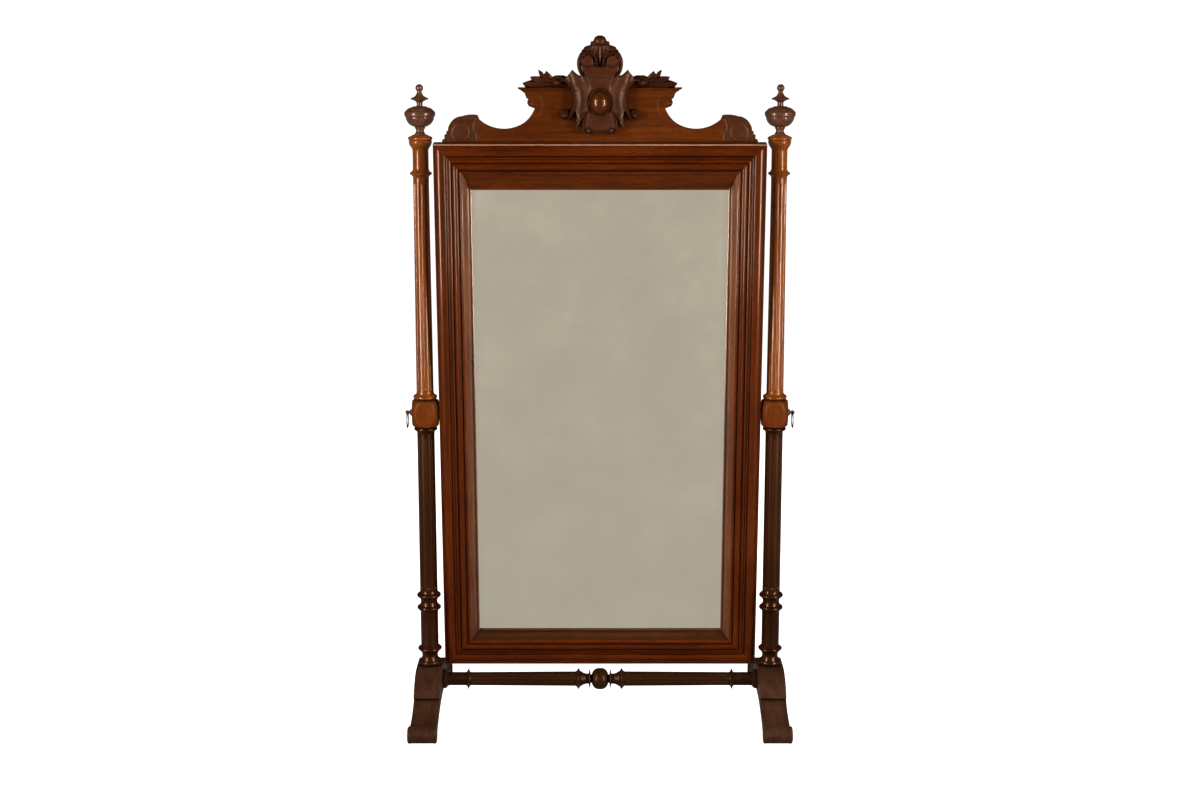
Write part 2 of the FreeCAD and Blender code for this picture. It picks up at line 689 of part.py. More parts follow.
def cartouche():
    """Carved centre: knob, scrolled head, wings and shield, standing proud of the board."""
    right = [(30.0, 15.0), (42.0, 26.0), (48.0, 46.0), (60.0, 84.0), (76.0, 96.0), (67.0, 112.0, 76.0, 146.0),
             (100.0, 172.0), (92.0, 184.0), (76.0, 204.0), (52.0, 186.0), (57.0, 200.0),
             (66.0, 226.0, 46.0, 258.0), (36.0, 268.0, 27.0, 273.0), (19.0, 277.0), (19.0, 284.0),
             (16.0, 295.0, 0.0, crest_height)]
    left = mirrored(right)
    outline_steps = right + left[1:]
    front = extruded(outline_steps, lambda x, h: V(x, -cartouche_front, frame_top + h),
                     V(0, cartouche_front - crest_front, 0))
    behind = extruded(outline_steps, lambda x, h: V(x, -crest_front, frame_top + h), V(0, head_thickness, 0))
    above = Part.makeBox(150.0, 60.0, 200.0, V(-75.0, -30.0, frame_top + crest_cornice_top))
    return front.fuse(behind.common(above)).removeSplitter()


def cabochon():
    """Egg-shaped boss in the middle of the cartouche."""
    half_height = cabochon_height / 2.0
    half_width = cabochon_width / 2.0
    centre = V(0, -cartouche_front, frame_top + cabochon_centre)
    ellipse = Part.Ellipse(centre + V(0, 0, half_height), centre + V(half_width, 0, 0), centre)
    arc = Part.ArcOfEllipse(ellipse, 0.0, math.pi).toShape()
    chord = Part.LineSegment(arc.Vertexes[0].Point, arc.Vertexes[-1].Point).toShape()
    return Part.Face(Part.Wire([arc, chord])).revolve(centre, V(0, 0, -1), 180)


def cleat(x):
    """Upright cleat behind the crest, screwed to the crest board and to the top rail."""
    y0 = -crest_back
    low = frame_top - cleat_height / 2.0
    block = Part.makeBox(cleat_width, cleat_thickness, cleat_height, V(x - cleat_width / 2.0, y0, low))
    return block.cut(cleat_screws())


def cleat_places():
    return (-368.0, 0.0, 368.0)


def cleat_screws():
    y_head = -crest_back + cleat_thickness
    screws = []
    for x in cleat_places():
        for z in (frame_top - 22.0, frame_top + 26.0):
            screws.append(wood_screw(V(x, -crest_back - 13.0, z), V(x, y_head, z)))
    return screws


# ---------------------------------------------------------------- all nodes
def pair(name, shape):
    return {"right_" + name: shape, "left_" + name: left_of(shape)}


def build():
    nodes = {}
    nodes.update(pair("foot", foot()))
    nodes.update(pair("post", post()))
    nodes.update(pair("finial", finial()))
    nodes["stretcher"] = stretcher()
    nodes["post_bolts"] = Part.makeCompound([bolt(), left_of(bolt())])
    nodes["stretcher_pegs"] = Part.makeCompound([peg(), left_of(peg())])
    nodes.update(pair("pivot_bush", bush()))
    nodes.update(pair("pivot_washer", washer()))
    nodes.update(pair("pivot_screw", pivot_screw()))
    nodes.update(pair("pull_ring", pull_ring()))

    frame = frame_sides()
    screws = cleat_screws()
    nodes["left_stile"] = hung(frame["left"].cut(back_screws()))
    nodes["right_stile"] = hung(frame["right"].cut(back_screws()))
    nodes["top_rail"] = hung(frame["top"].cut(back_screws() + screws))
    nodes["bottom_rail"] = hung(frame["bottom"].cut(back_screws()))
    for side, shape in slips().items():
        nodes[side + "_slip"] = hung(shape)
    nodes["mirror_glass"] = hung(glass())
    nodes["glass_blocks"] = hung(Part.makeCompound(glass_blocks()))
    upper, lower = back_boards()
    nodes["upper_back_board"] = hung(upper)
    nodes["lower_back_board"] = hung(lower)
    nodes["back_batten"] = hung(back_batten())
    nodes["back_screws"] = hung(Part.makeCompound(back_screws() + batten_screws()))
    nodes["mitre_keys"] = hung(Part.makeCompound(mitre_keys()))
    for side, shape in pair("pivot_plate", pivot_plate()).items():
        nodes[side] = hung(shape)
    plate_set = plate_screws()
    nodes["plate_screws"] = hung(Part.makeCompound(plate_set + [left_of(s) for s in plate_set]))

    nodes["crest_board"] = hung(crest_board())
    for name, shape in (("cornice", cornice()), ("leaf_spray", leaf_spray()), ("c_scroll", c_scroll())):
        for side, half in pair(name, shape).items():
            nodes[side] = hung(half)
    nodes["cartouche"] = hung(cartouche())
    nodes["cabochon"] = hung(cabochon())
    nodes["crest_cleats"] = hung(Part.makeCompound([cleat(x) for x in cleat_places()]))
    nodes["cleat_screws"] = hung(Part.makeCompound(screws))
    return nodes


os.makedirs("parts", exist_ok=True)
for node_name, node_shape in build().items():
    node_shape.exportStep("parts/" + node_name + ".step")
    if not node_shape.isValid():
        print("not valid:", node_name)
    print(node_name, len(node_shape.Solids), round(node_shape.Volume / 1000.0, 1), "cm3")
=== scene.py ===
"""Looks of a carved walnut cheval mirror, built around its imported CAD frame."""
import json
import math

import bmesh
import bpy
import numpy as np
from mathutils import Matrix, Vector
from mathutils.geometry import delaunay_2d_cdt


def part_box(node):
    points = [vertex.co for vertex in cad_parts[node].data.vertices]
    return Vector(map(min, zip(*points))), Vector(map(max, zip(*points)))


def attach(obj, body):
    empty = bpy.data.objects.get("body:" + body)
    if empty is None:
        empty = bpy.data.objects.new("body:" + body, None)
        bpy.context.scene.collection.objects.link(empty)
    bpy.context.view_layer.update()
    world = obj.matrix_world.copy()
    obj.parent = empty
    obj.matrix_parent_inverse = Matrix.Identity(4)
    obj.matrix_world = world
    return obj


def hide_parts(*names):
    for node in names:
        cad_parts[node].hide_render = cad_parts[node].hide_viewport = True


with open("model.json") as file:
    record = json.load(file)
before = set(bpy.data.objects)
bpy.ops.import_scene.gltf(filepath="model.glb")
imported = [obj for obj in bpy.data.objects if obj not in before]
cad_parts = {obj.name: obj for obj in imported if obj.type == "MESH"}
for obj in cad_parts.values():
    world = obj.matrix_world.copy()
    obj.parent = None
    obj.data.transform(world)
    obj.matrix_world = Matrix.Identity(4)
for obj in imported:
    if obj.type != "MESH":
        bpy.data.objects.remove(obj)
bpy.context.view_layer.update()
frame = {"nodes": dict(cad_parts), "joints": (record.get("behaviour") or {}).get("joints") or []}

# ---------------------------------------------------------------- studio
# A plain pale floor under a white surround, with two tall soft boxes in front, left and right, and a
# broad soft light above.  The camera stands 5.2 m back at head height and looks a little down.

studio = bpy.context.scene
studio.view_settings.view_transform = "Standard"
studio.view_settings.look = "None"


def linear(hex_colour):
    """An sRGB hex colour as linear red, green, blue and full alpha."""
    channels = [int(hex_colour[i:i + 2], 16) / 255.0 for i in (1, 3, 5)]
    return tuple(c / 12.92 if c <= 0.04045 else ((c + 0.055) / 1.055) ** 2.4 for c in channels) + (1.0,)


def add_node(tree, kind, inputs=None, **settings):
    """One node of a tree, with its settings, and its inputs given as values or as sockets to link from."""
    made = tree.nodes.new(kind)
    for name, value in settings.items():
        setattr(made, name, value)
    for name, value in (inputs or {}).items():
        if isinstance(value, bpy.types.NodeSocket):
            tree.links.new(value, made.inputs[name])
        else:
            made.inputs[name].default_value = value
    return made


surround = bpy.data.worlds.new("white surround")
surround.use_nodes = True
sky = surround.node_tree
sky.nodes.clear()
seen = add_node(sky, "ShaderNodeLightPath")
soft = add_node(sky, "ShaderNodeBackground", {"Color": linear("#f6f4f0"), "Strength": 0.11})
dim = add_node(sky, "ShaderNodeBackground", {"Color": linear("#f6f4f0"), "Strength": 0.05})
white = add_node(sky, "ShaderNodeBackground", {"Color": (1.0, 1.0, 1.0, 1.0), "Strength": 1.05})
bounced = add_node(sky, "ShaderNodeMixShader", {0: seen.outputs["Is Glossy Ray"], 1: soft.outputs[0], 2: dim.outputs[0]})
either = add_node(sky, "ShaderNodeMixShader", {0: seen.outputs["Is Camera Ray"], 1: bounced.outputs[0], 2: white.outputs[0]})
add_node(sky, "ShaderNodeOutputWorld", {"Surface": either.outputs[0]})
studio.world = surround


def white_paper():
    """Seamless white studio paper: lit to white, and giving back a softer grey to what stands on it."""
    made = bpy.data.materials.new("seamless white paper")
    made.use_nodes = True
    tree = made.node_tree
    tree.nodes.clear()
    path = add_node(tree, "ShaderNodeLightPath")
    matt = add_node(tree, "ShaderNodeBsdfDiffuse", {"Color": linear("#d8d8d6")})
    lit = add_node(tree, "ShaderNodeEmission", {"Color": linear("#ffffff"), "Strength": 1.1})
    bright = add_node(tree, "ShaderNodeAddShader", {0: matt.outputs[0], 1: lit.outputs[0]})
    grey = add_node(tree, "ShaderNodeEmission", {"Color": linear("#ffffff"), "Strength": 0.5})
    faint = add_node(tree, "ShaderNodeEmission", {"Color": linear("#ffffff"), "Strength": 0.17})
    bounced = add_node(tree, "ShaderNodeMixShader", {0: path.outputs["Is Glossy Ray"], 1: faint.outputs[0],
                                                     2: grey.outputs[0]})
    both = add_node(tree, "ShaderNodeMixShader", {0: path.outputs["Is Camera Ray"], 1: bounced.outputs[0],
                                                  2: bright.outputs[0]})
    add_node(tree, "ShaderNodeOutputMaterial", {"Surface": both.outputs[0]})
    return made


floor_mesh = bpy.data.meshes.new("studio_floor")
floor_mesh.from_pydata([(-40, -40, 0), (40, -40, 0), (40, 40, 0), (-40, 40, 0)], [], [(0, 1, 2, 3)])
floor_mesh.materials.append(white_paper())
studio_floor = bpy.data.objects.new("studio_floor", floor_mesh)
studio.collection.objects.link(studio_floor)


def soft_box(name, place, target, width, height, watts, tint="#ffffff"):
    lamp = bpy.data.lights.new(name, "AREA")
    lamp.shape = "RECTANGLE"
    lamp.size = width
    lamp.size_y = height
    lamp.energy = watts
    lamp.color = linear(tint)[:3]
    box = bpy.data.objects.new(name, lamp)
    box.location = place
    box.rotation_euler = (Vector(target) - Vector(place)).to_track_quat("-Z", "Y").to_euler()
    studio.collection.objects.link(box)
    return box


for hand, watts in (("left", 138), ("right", 132)):
    side_x = -3.1 if hand == "left" else 3.1
    wash = soft_box(hand + "_wash", (side_x, -2.9, 1.9), (0, 0, 1.1), 1.0, 2.4, watts, "#fff3ea")
    wash.visible_glossy = False
    strip = soft_box(hand + "_strip", (side_x, -2.9, 1.7), (0, 0, 1.5), 0.75, 2.9, 760, "#ffefe6")
    strip.visible_diffuse = False
soft_box("overhead_light", (0, -1.4, 4.6), (0, 0, 0), 4.0, 3.0, 12).visible_glossy = False
soft_box("back_light", (0, 3.6, 3.4), (0, 0, 1.0), 3.0, 1.6, 130).visible_glossy = False

camera_data = bpy.data.cameras.new("camera")
camera_data.lens = 54.5
camera_data.sensor_width = 36.0
camera = bpy.data.objects.new("camera", camera_data)
camera.location = (0.0, -5.23, 2.0)
camera.rotation_euler = (math.radians(90.0 - 11.3), 0.0, 0.0)
studio.collection.objects.link(camera)
studio.camera = camera

# ---------------------------------------------------------------- walnut, and feet
# Each foot is a sawn and shaped walnut board with a shoulder, a small step, a hollow and a rolled toe,
# its polish dulled by mops and shoes.  The post is tenoned and bolted down on its flat top.

MM = 0.001


def arc(start, through, end, count=14):
    """Points on the circle from start to end by way of through, without the first."""
    (ax, ay), (bx, by), (cx, cy) = start, through, end
    d = 2.0 * (ax * (by - cy) + bx * (cy - ay) + cx * (ay - by))
    ux = ((ax * ax + ay * ay) * (by - cy) + (bx * bx + by * by) * (cy - ay) + (cx * cx + cy * cy) * (ay - by)) / d
    uy = ((ax * ax + ay * ay) * (cx - bx) + (bx * bx + by * by) * (ax - cx) + (cx * cx + cy * cy) * (bx - ax)) / d
    first = math.atan2(ay - uy, ax - ux)
    turn_b = (math.atan2(by - uy, bx - ux) - first) % (2.0 * math.pi)
    turn_c = (math.atan2(cy - uy, cx - ux) - first) % (2.0 * math.pi)
    if turn_b > turn_c:
        turn_c -= 2.0 * math.pi
    radius = math.hypot(ax - ux, ay - uy)
    steps = [first + turn_c * i / count for i in range(1, count + 1)]
    return [(ux + radius * math.cos(a), uy + radius * math.sin(a)) for a in steps]


def drawn(steps, count=14):
    """Points of an outline given as points and as (middle, end) arcs of four numbers."""
    points = [steps[0]]
    for step in steps[1:]:
        if len(step) == 2:
            points.append(step)
        else:
            points += arc(points[-1], step[:2], step[2:], count)
    return points


def finished(name, bm, materials, sharp=32.0, merge=0.00002):
    """Object from a bmesh: closed, facing out, smooth but for edges sharper than the given angle."""
    bmesh.ops.remove_doubles(bm, verts=bm.verts, dist=merge)
    bmesh.ops.recalc_face_normals(bm, faces=bm.faces)
    for edge in bm.edges:
        edge.smooth = len(edge.link_faces) == 2 and edge.calc_face_angle(0.0) < math.radians(sharp)
    for face in bm.faces:
        face.smooth = True
    mesh = bpy.data.meshes.new(name)
    bm.to_mesh(mesh)
    bm.free()
    for material in materials:
        mesh.materials.append(material)
    made = bpy.data.objects.new(name, mesh)
    studio.collection.objects.link(made)
    return made


def applied(piece):
    """The piece with its modifiers turned into plain mesh."""
    graph = bpy.context.evaluated_depsgraph_get()
    mesh = bpy.data.meshes.new_from_object(piece.evaluated_get(graph))
    piece.modifiers.clear()
    piece.data = mesh
    return piece


def softened(piece, width, segments=3, angle=35.0):
    """Break the piece's sharp edges with a small rounding, as hand scraping and wear do."""
    bevel = piece.modifiers.new("worn edges", "BEVEL")
    bevel.width = width
    bevel.segments = segments
    bevel.limit_method = "ANGLE"
    bevel.angle_limit = math.radians(angle)
    bevel.harden_normals = False
    return applied(piece)


def ramp(tree, factor, stops):
    """Colour ramp through (position, hex colour) stops."""
    made = add_node(tree, "ShaderNodeValToRGB", {"Fac": factor})
    elements = made.color_ramp.elements
    while len(elements) < len(stops):
        elements.new(0.5)
    for element, (position, colour) in zip(elements, stops):
        element.position = position
        element.color = linear(colour)
    return made


def walnut(name, tones, along="Z", lean=0.0, gloss=0.2, coat=0.06, painted_shade_colour="#120602", painted_shade_reach=0.012, figure=1.0,
           specular=0.07):
    """Polished walnut: long streaks of heartwood figure, open pores, and painted shade that darkens the hollows.

    tones are the wood's deep, middle and light colours; along is the axis that the grain runs on.
    French polish gives a clear coat over a satin body, so edges glint and flats stay deep.
    """
    made = bpy.data.materials.new(name)
    made.use_nodes = True
    tree = made.node_tree
    shader = tree.nodes["Principled BSDF"]
    place = add_node(tree, "ShaderNodeTexCoord")
    upright = add_node(tree, "ShaderNodeMapping", {0: place.outputs["Object"], "Rotation": (-lean, 0.0, 0.0)})
    stretch = {"X": (0.055, 1.0, 1.0), "Y": (1.0, 0.055, 1.0), "Z": (1.0, 1.0, 0.055)}[along]
    grain = add_node(tree, "ShaderNodeMapping", {0: upright.outputs[0], "Scale": stretch})
    drift = add_node(tree, "ShaderNodeTexNoise", {"Vector": upright.outputs[0], "Scale": 5.0, "Detail": 3.0})
    bands = add_node(tree, "ShaderNodeTexNoise", {"Vector": grain.outputs[0], "Scale": 42.0 * figure, "Detail": 5.0,
                                                  "Roughness": 0.62, "Distortion": 0.5})
    streaks = add_node(tree, "ShaderNodeTexNoise", {"Vector": grain.outputs[0], "Scale": 230.0, "Detail": 3.0})
    pores = add_node(tree, "ShaderNodeTexNoise", {"Vector": grain.outputs[0], "Scale": 900.0, "Detail": 2.0})
    mixed = add_node(tree, "ShaderNodeMath", {0: bands.outputs[0], 1: 0.55}, operation="MULTIPLY")
    mixed = add_node(tree, "ShaderNodeMath", {0: streaks.outputs[0], 1: 0.25, 2: mixed.outputs[0]}, operation="MULTIPLY_ADD")
    mixed = add_node(tree, "ShaderNodeMath", {0: drift.outputs[0], 1: 0.2, 2: mixed.outputs[0]}, operation="MULTIPLY_ADD")
    wood = ramp(tree, mixed.outputs[0], [(0.33, tones[0]), (0.5, tones[1]), (0.68, tones[2])])
    pore_dark = ramp(tree, pores.outputs[0], [(0.32, "#b0a8a0"), (0.46, "#ffffff")])
    with_pores = add_node(tree, "ShaderNodeMix", {0: 1.0, 6: wood.outputs[0], 7: pore_dark.outputs[0]},
                          data_type="RGBA", blend_type="MULTIPLY")
    # Painted shade: ambient occlusion darkens the base colour towards a near-black brown in hollows, creases and under
    # ledges.
    hollow = add_node(tree, "ShaderNodeAmbientOcclusion", {"Distance": painted_shade_reach}, samples=6)
    painted_shade_mask = ramp(tree, hollow.outputs["AO"], [(0.35, "#000000"), (0.85, "#ffffff")])
    final = add_node(tree, "ShaderNodeMix", {0: painted_shade_mask.outputs[0], 6: linear(painted_shade_colour), 7: with_pores.outputs[2]},
                     data_type="RGBA")
    tree.links.new(final.outputs[2], shader.inputs["Base Color"])
    sheen = add_node(tree, "ShaderNodeMapRange", {0: drift.outputs[0], 1: 0.3, 2: 0.7, 3: gloss + 0.16, 4: gloss + 0.3})
    tree.links.new(sheen.outputs[0], shader.inputs["Roughness"])
    bump = add_node(tree, "ShaderNodeBump", {"Height": pores.outputs[0], "Strength": 0.12, "Distance": 0.0004})
    tree.links.new(bump.outputs[0], shader.inputs["Normal"])
    shader.inputs["IOR"].default_value = 1.5
    shader.inputs["Specular IOR Level"].default_value = specular
    shader.inputs["Specular Tint"].default_value = linear("#ffb070")
    shader.inputs["Coat Weight"].default_value = coat
    shader.inputs["Coat Roughness"].default_value = gloss
    shader.inputs["Coat IOR"].default_value = 1.5
    return made


# The dark line under the foot's shoulder ledge is painted shade from this occlusion darkening.
worn_walnut = walnut("dulled walnut, grain along the foot", ("#22140d", "#3b251a", "#4e3526"), along="Y",
                     gloss=0.38, coat=0.04)


def foot(side):
    """One foot: its side outline, pushed out to the board's width, with wider rolls at the toes."""
    low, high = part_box(side + "_foot")
    sign = -1.0 if side == "left" else 1.0
    middle = (low.x + high.x) / 2.0
    length = high.y / MM
    top = high.z / MM
    toe = 24.5
    nose = length - toe - 1.0
    front = [(-26.0, top), (-41.0, top - 0.5), (-98.0, top - 18.0, -135.0, top - 53.5), (-139.5, top - 57.0),
             (-139.5, top - 59.5), (-136.5, top - 62.0), (-128.0, top - 65.0), (-212.0, 44.0, -nose + 8.0, toe + 17.0)]
    half = drawn(front, 16)
    toe_points = drawn([(-nose + 8.0, toe + 17.0), (-nose - 2.0, toe * 2.0 + 0.5), (-nose - toe, toe, -nose + 2.0, 0.4)], 14)
    under = drawn([(-236.0, 0.0), (0.0, 58.0, 236.0, 0.0)], 40)
    half = half + toe_points[1:]
    outline = half + under + [(-y, z) for y, z in reversed(half)]
    bm = bmesh.new()
    width = 38.5
    rows = []
    for x in (-width, width):
        rows.append([bm.verts.new((middle + x * MM, y * MM, z * MM)) for y, z in outline])
    count = len(outline)
    for i in range(count):
        j = (i + 1) % count
        bm.faces.new((rows[0][i], rows[0][j], rows[1][j], rows[1][i]))
    bm.faces.new(rows[0])
    bm.faces.new(list(reversed(rows[1])))
    board = finished(side + "_foot_board", bm, [worn_walnut], sharp=24.0)
    softened(board, 0.0016, 3, 28.0)
    for end in (-1.0, 1.0):
        add_toe(board, middle, end * nose, toe)
    for polygon in board.data.polygons:
        polygon.use_smooth = True
    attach(board, "stand")
    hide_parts(side + "_foot")
    return board


def add_toe(board, middle, y, radius):
    """Rolled toe: a turned-over scroll end a little wider than the board, with a soft rim."""
    bm = bmesh.new()
    bm.from_mesh(board.data)
    end = drawn([(0.0, 41.5), (radius - 8.0, 41.5), (radius - 0.8, 40.7, radius, 33.5)], 8)
    profile = end + [(r, -x) for r, x in reversed(end)]
    turns = 40
    rings = []
    for r, x in profile:
        ring = []
        for k in range(turns):
            a = 2.0 * math.pi * k / turns
            ring.append(bm.verts.new((middle + x * MM, (y + r * math.sin(a)) * MM, max(0.0, radius + r * math.cos(a)) * MM)))
        rings.append(ring)
    for a, b in zip(rings, rings[1:]):
        for k in range(turns):
            m = (k + 1) % turns
            bm.faces.new((a[k], a[m], b[m], b[k]))
    bmesh.ops.remove_doubles(bm, verts=bm.verts, dist=0.00001)
    bmesh.ops.recalc_face_normals(bm, faces=bm.faces)
    bm.to_mesh(board.data)
    bm.free()


for side in ("left", "right"):
    foot(side)

# ---------------------------------------------------------------- posts
# Each post is turned from one length of walnut: base, rings, a fluted shaft below and above the square
# pivot block, and a capital.  The flutes are scratched by hand after turning and stop in round ends.

SHAFT_TURNS = 128


def bead(radius, z, half, foot, count=10):
    """Round bead on a turning, from its lower fillet over its crown to its upper fillet."""
    angles = [math.pi * (i / count - 0.5) for i in range(count + 1)]
    return [(foot + (radius - foot) * math.cos(a), z + half * math.sin(a)) for a in angles]


def hollow(start, end, depth, count=8):
    """Cove between two (radius, height) points, pulled in by depth at its middle."""
    steps = [i / count for i in range(1, count)]
    return [(start[0] + (end[0] - start[0]) * t - depth * math.sin(math.pi * t), start[1] + (end[1] - start[1]) * t)
            for t in steps]


def flute_cut(angle, along, start, end, radius, count=8, cutter=5.4, depth=2.9):
    """How deep the flutes cut a shaft of this radius at an angle and a place along it."""
    step = 2.0 * math.pi / count
    off = (angle + step / 2.0) % step - step / 2.0
    across = radius * math.sin(off)
    beyond = max(start - along, along - end, 0.0)
    square = cutter ** 2 - across ** 2 - beyond ** 2
    if square <= (cutter - depth) ** 2:
        return 0.0
    return math.sqrt(square) - (cutter - depth)


def turned(bm, profile, place, turns=SHAFT_TURNS, shape=None):
    """Lathe a (radius, along) profile; place(radius, angle, along) gives the point, shape changes the radius."""
    rings = []
    for r, s in profile:
        ring = []
        for k in range(turns):
            a = 2.0 * math.pi * k / turns
            radius = shape(r, a, s) if shape else r
            ring.append(bm.verts.new(place(radius, a, s)))
        rings.append(ring)
    for low_ring, high_ring in zip(rings, rings[1:]):
        for k in range(turns):
            m = (k + 1) % turns
            bm.faces.new((low_ring[k], low_ring[m], high_ring[m], high_ring[k]))
    return rings


post_walnut = walnut("French-polished walnut turning", ("#572c0d", "#874716", "#a66226"), gloss=0.14, coat=0.14)
# The lower shaft's darker copy of the turning walnut is painted shade.
post_low_painted_shade_walnut = walnut("French-polished walnut turning, painted shade", ("#1c0a02", "#2c1203", "#3c1c05"), gloss=0.16,
                         coat=0.08)
block_walnut = walnut("rubbed walnut block", ("#5c2905", "#6d3207", "#7c3d0b"), gloss=0.36, coat=0.04)

pivot_z = next(j for j in frame["joints"] if j["name"] == "mirror_tilt")["pos_m"][2] / MM
foot_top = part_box("left_foot")[1].z / MM
post_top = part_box("left_post")[1].z / MM
block_half = (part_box("left_post")[1].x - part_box("left_post")[0].x) / MM / 2.0


def fluted_run(start, end, r_start, r_end):
    """Rings along a tapering fluted shaft, close together where the flutes run out."""
    places = [start - 12.0] + [start - 6.0 + i for i in range(12)]
    places += [start + 30.0 + (end - start - 60.0) * i / 10.0 for i in range(11)]
    places += [end - 6.0 + i for i in range(12)] + [end + 12.0]
    return [(r_start + (r_end - r_start) * (s - start) / (end - start), s) for s in places]


def post(side):
    low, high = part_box(side + "_post")
    x0 = (low.x + high.x) / 2.0 / MM
    base = foot_top
    block_low = pivot_z - 41.0
    block_top = pivot_z + 39.0
    ring_z = post_top - 111.0
    low_flutes = (base + 244.0, block_low - 34.0)
    high_flutes = (block_top + 34.0, ring_z - 31.0)
    profile = [(0.0, base - 0.2), (31.0, base - 0.2)] + bead(35.5, base + 7.5, 7.0, 32.0)
    profile += [(28.0, base + 15.5)] + hollow((28.0, base + 16.0), (25.5, base + 38.0), 3.2) + [(26.0, base + 39.0)]
    profile += [(29.0, base + 42.0)] + bead(35.8, base + 50.5, 4.6, 31.0) + [(29.0, base + 58.0), (26.6, base + 60.5)]
    profile += [(26.3, base + 64.0), (26.3, base + 120.0), (26.4, base + 165.0), (27.2, base + 168.5), (29.0, base + 171.0)]
    profile += bead(35.6, base + 179.0, 5.6, 30.5) + [(28.0, base + 186.5)]
    profile += hollow((28.0, base + 187.0), (28.0, base + 209.0), 3.4) + [(28.0, base + 209.5)]
    profile += bead(35.9, base + 217.0, 5.6, 30.5) + [(29.0, base + 224.5), (27.0, base + 228.0)]
    profile += fluted_run(low_flutes[0], low_flutes[1], 26.3, 25.7)
    profile += [(26.6, block_low - 15.5), (28.5, block_low - 13.5)] + bead(34.4, block_low - 7.0, 5.0, 30.0)
    profile += [(29.5, block_low - 1.2)]
    block_steps = 30
    profile += [(-1.0, block_low + (block_top - block_low) * i / block_steps) for i in range(block_steps + 1)]
    profile += [(29.5, block_top + 1.2)] + bead(35.2, block_top + 8.5, 5.6, 30.5) + [(28.5, block_top + 15.5)]
    profile += [(26.4, block_top + 18.0)]
    profile += fluted_run(high_flutes[0], high_flutes[1], 25.2, 22.9)
    profile += [(22.9, ring_z - 13.0), (23.6, ring_z - 9.0), (26.5, ring_z - 5.5), (31.6, ring_z - 2.0)]
    profile += [(32.6, ring_z), (31.6, ring_z + 2.0), (26.5, ring_z + 5.5), (23.6, ring_z + 9.0), (22.8, ring_z + 13.0)]
    profile += [(22.8, post_top - 60.0), (22.9, post_top - 45.0), (24.0, post_top - 41.0), (27.5, post_top - 36.0)]
    profile += [(31.2, post_top - 30.0), (33.0, post_top - 24.0), (33.2, post_top - 19.0), (31.8, post_top - 17.0)]
    profile += bead(35.0, post_top - 11.5, 4.4, 32.0) + [(30.5, post_top - 6.5), (27.0, post_top - 4.5)]
    profile += [(22.0, post_top - 2.0), (16.0, post_top), (0.0, post_top)]
    middle = (block_low + block_top) / 2.0
    reach = (block_top - block_low) / 2.0

    def shape(r, a, s):
        if r < 0.0:
            swell = block_half - 4.5 + 13.0 * math.sqrt(max(0.0, 1.0 - ((s - middle) / reach) ** 2))
            fold = abs((a + math.pi / 4.0) % (math.pi / 2.0) - math.pi / 4.0)
            flat = block_half / math.cos(fold)
            return (swell ** -60 + flat ** -60) ** (-1.0 / 60.0)
        cut = flute_cut(a, s, low_flutes[0], low_flutes[1], r)
        cut += flute_cut(a, s, high_flutes[0], high_flutes[1], r)
        return r - cut

    def place(r, a, s):
        return ((x0 + r * math.sin(a)) * MM, -r * math.cos(a) * MM, s * MM)

    bm = bmesh.new()
    turned(bm, profile, place, shape=shape)
    for face in bm.faces:
        z = face.calc_center_median().z / MM
        # Below the block the turning takes the darker copy: painted shade.
        face.material_index = 1 if z < block_low else (2 if z < block_top else 0)
    piece = finished(side + "_turned_post", bm, [post_walnut, post_low_painted_shade_walnut, block_walnut], sharp=30.0)
    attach(piece, "stand")
    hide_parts(side + "_post")


for side in ("left", "right"):
    post(side)

# ---------------------------------------------------------------- finials
# Each finial is a small turned urn with a lid, a thin disc and a ball, stained a little darker than the
# post and plugged into the capital by a spigot.

urn_walnut = walnut("dark polished walnut urn", ("#3c2316", "#593728", "#744e3a"), gloss=0.2, coat=0.2, figure=1.6)


def finial(side):
    low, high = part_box(side + "_finial")
    x0 = (low.x + high.x) / 2.0 / MM
    z = post_top
    top = high.z / MM
    profile = [(0.0, z - 1.0), (16.0, z - 1.0), (16.2, z + 1.0), (14.6, z + 2.4)]
    profile += hollow((14.0, z + 3.0), (13.5, z + 16.0), 2.4) + [(14.6, z + 17.0), (15.0, z + 19.0), (14.2, z + 20.6)]
    profile += drawn([(16.0, z + 21.0), (33.5, z + 31.5, 40.5, z + 49.0)], 14)
    profile += [(42.4, z + 50.5), (43.7, z + 52.6), (44.0, z + 57.5), (43.7, z + 62.5), (42.2, z + 64.6), (40.2, z + 65.6)]
    profile += drawn([(39.5, z + 66.2), (32.0, z + 73.0, 21.5, z + 76.0)], 10)
    profile += [(20.6, z + 77.4), (18.6, z + 78.6), (10.0, z + 79.2), (8.7, z + 80.4), (8.3, z + 85.0), (8.8, z + 90.0)]
    profile += [(12.5, z + 93.6), (20.0, z + 96.6), (24.8, z + 98.4), (25.6, z + 100.0), (24.8, z + 101.4)]
    profile += [(18.5, z + 104.0), (12.0, z + 108.0), (8.2, z + 114.0), (6.2, z + 119.6)]
    ball = 10.9
    centre = top - ball
    profile += [(ball * math.cos(a), centre + ball * math.sin(a))
                for a in [math.radians(-52.0 + 142.0 * i / 16.0) for i in range(17)]]
    bm = bmesh.new()
    turned(bm, profile, lambda r, a, s: ((x0 + r * math.sin(a)) * MM, -r * math.cos(a) * MM, s * MM), turns=72)
    piece = finished(side + "_urn", bm, [urn_walnut], sharp=38.0)
    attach(piece, "stand")
    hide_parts(side + "_finial")


for side in ("left", "right"):
    finial(side)

# ---------------------------------------------------------------- stretcher
# The stretcher is one turned rail between the feet: a ball between thin discs in the middle, sharp rings,
# and a fluted swelling shaft on each side.  Its tenons are pegged in the feet.

rail_walnut = walnut("polished walnut rail", ("#1a0b03", "#2a1404", "#371d0a"), along="X", gloss=0.3, coat=0.05)


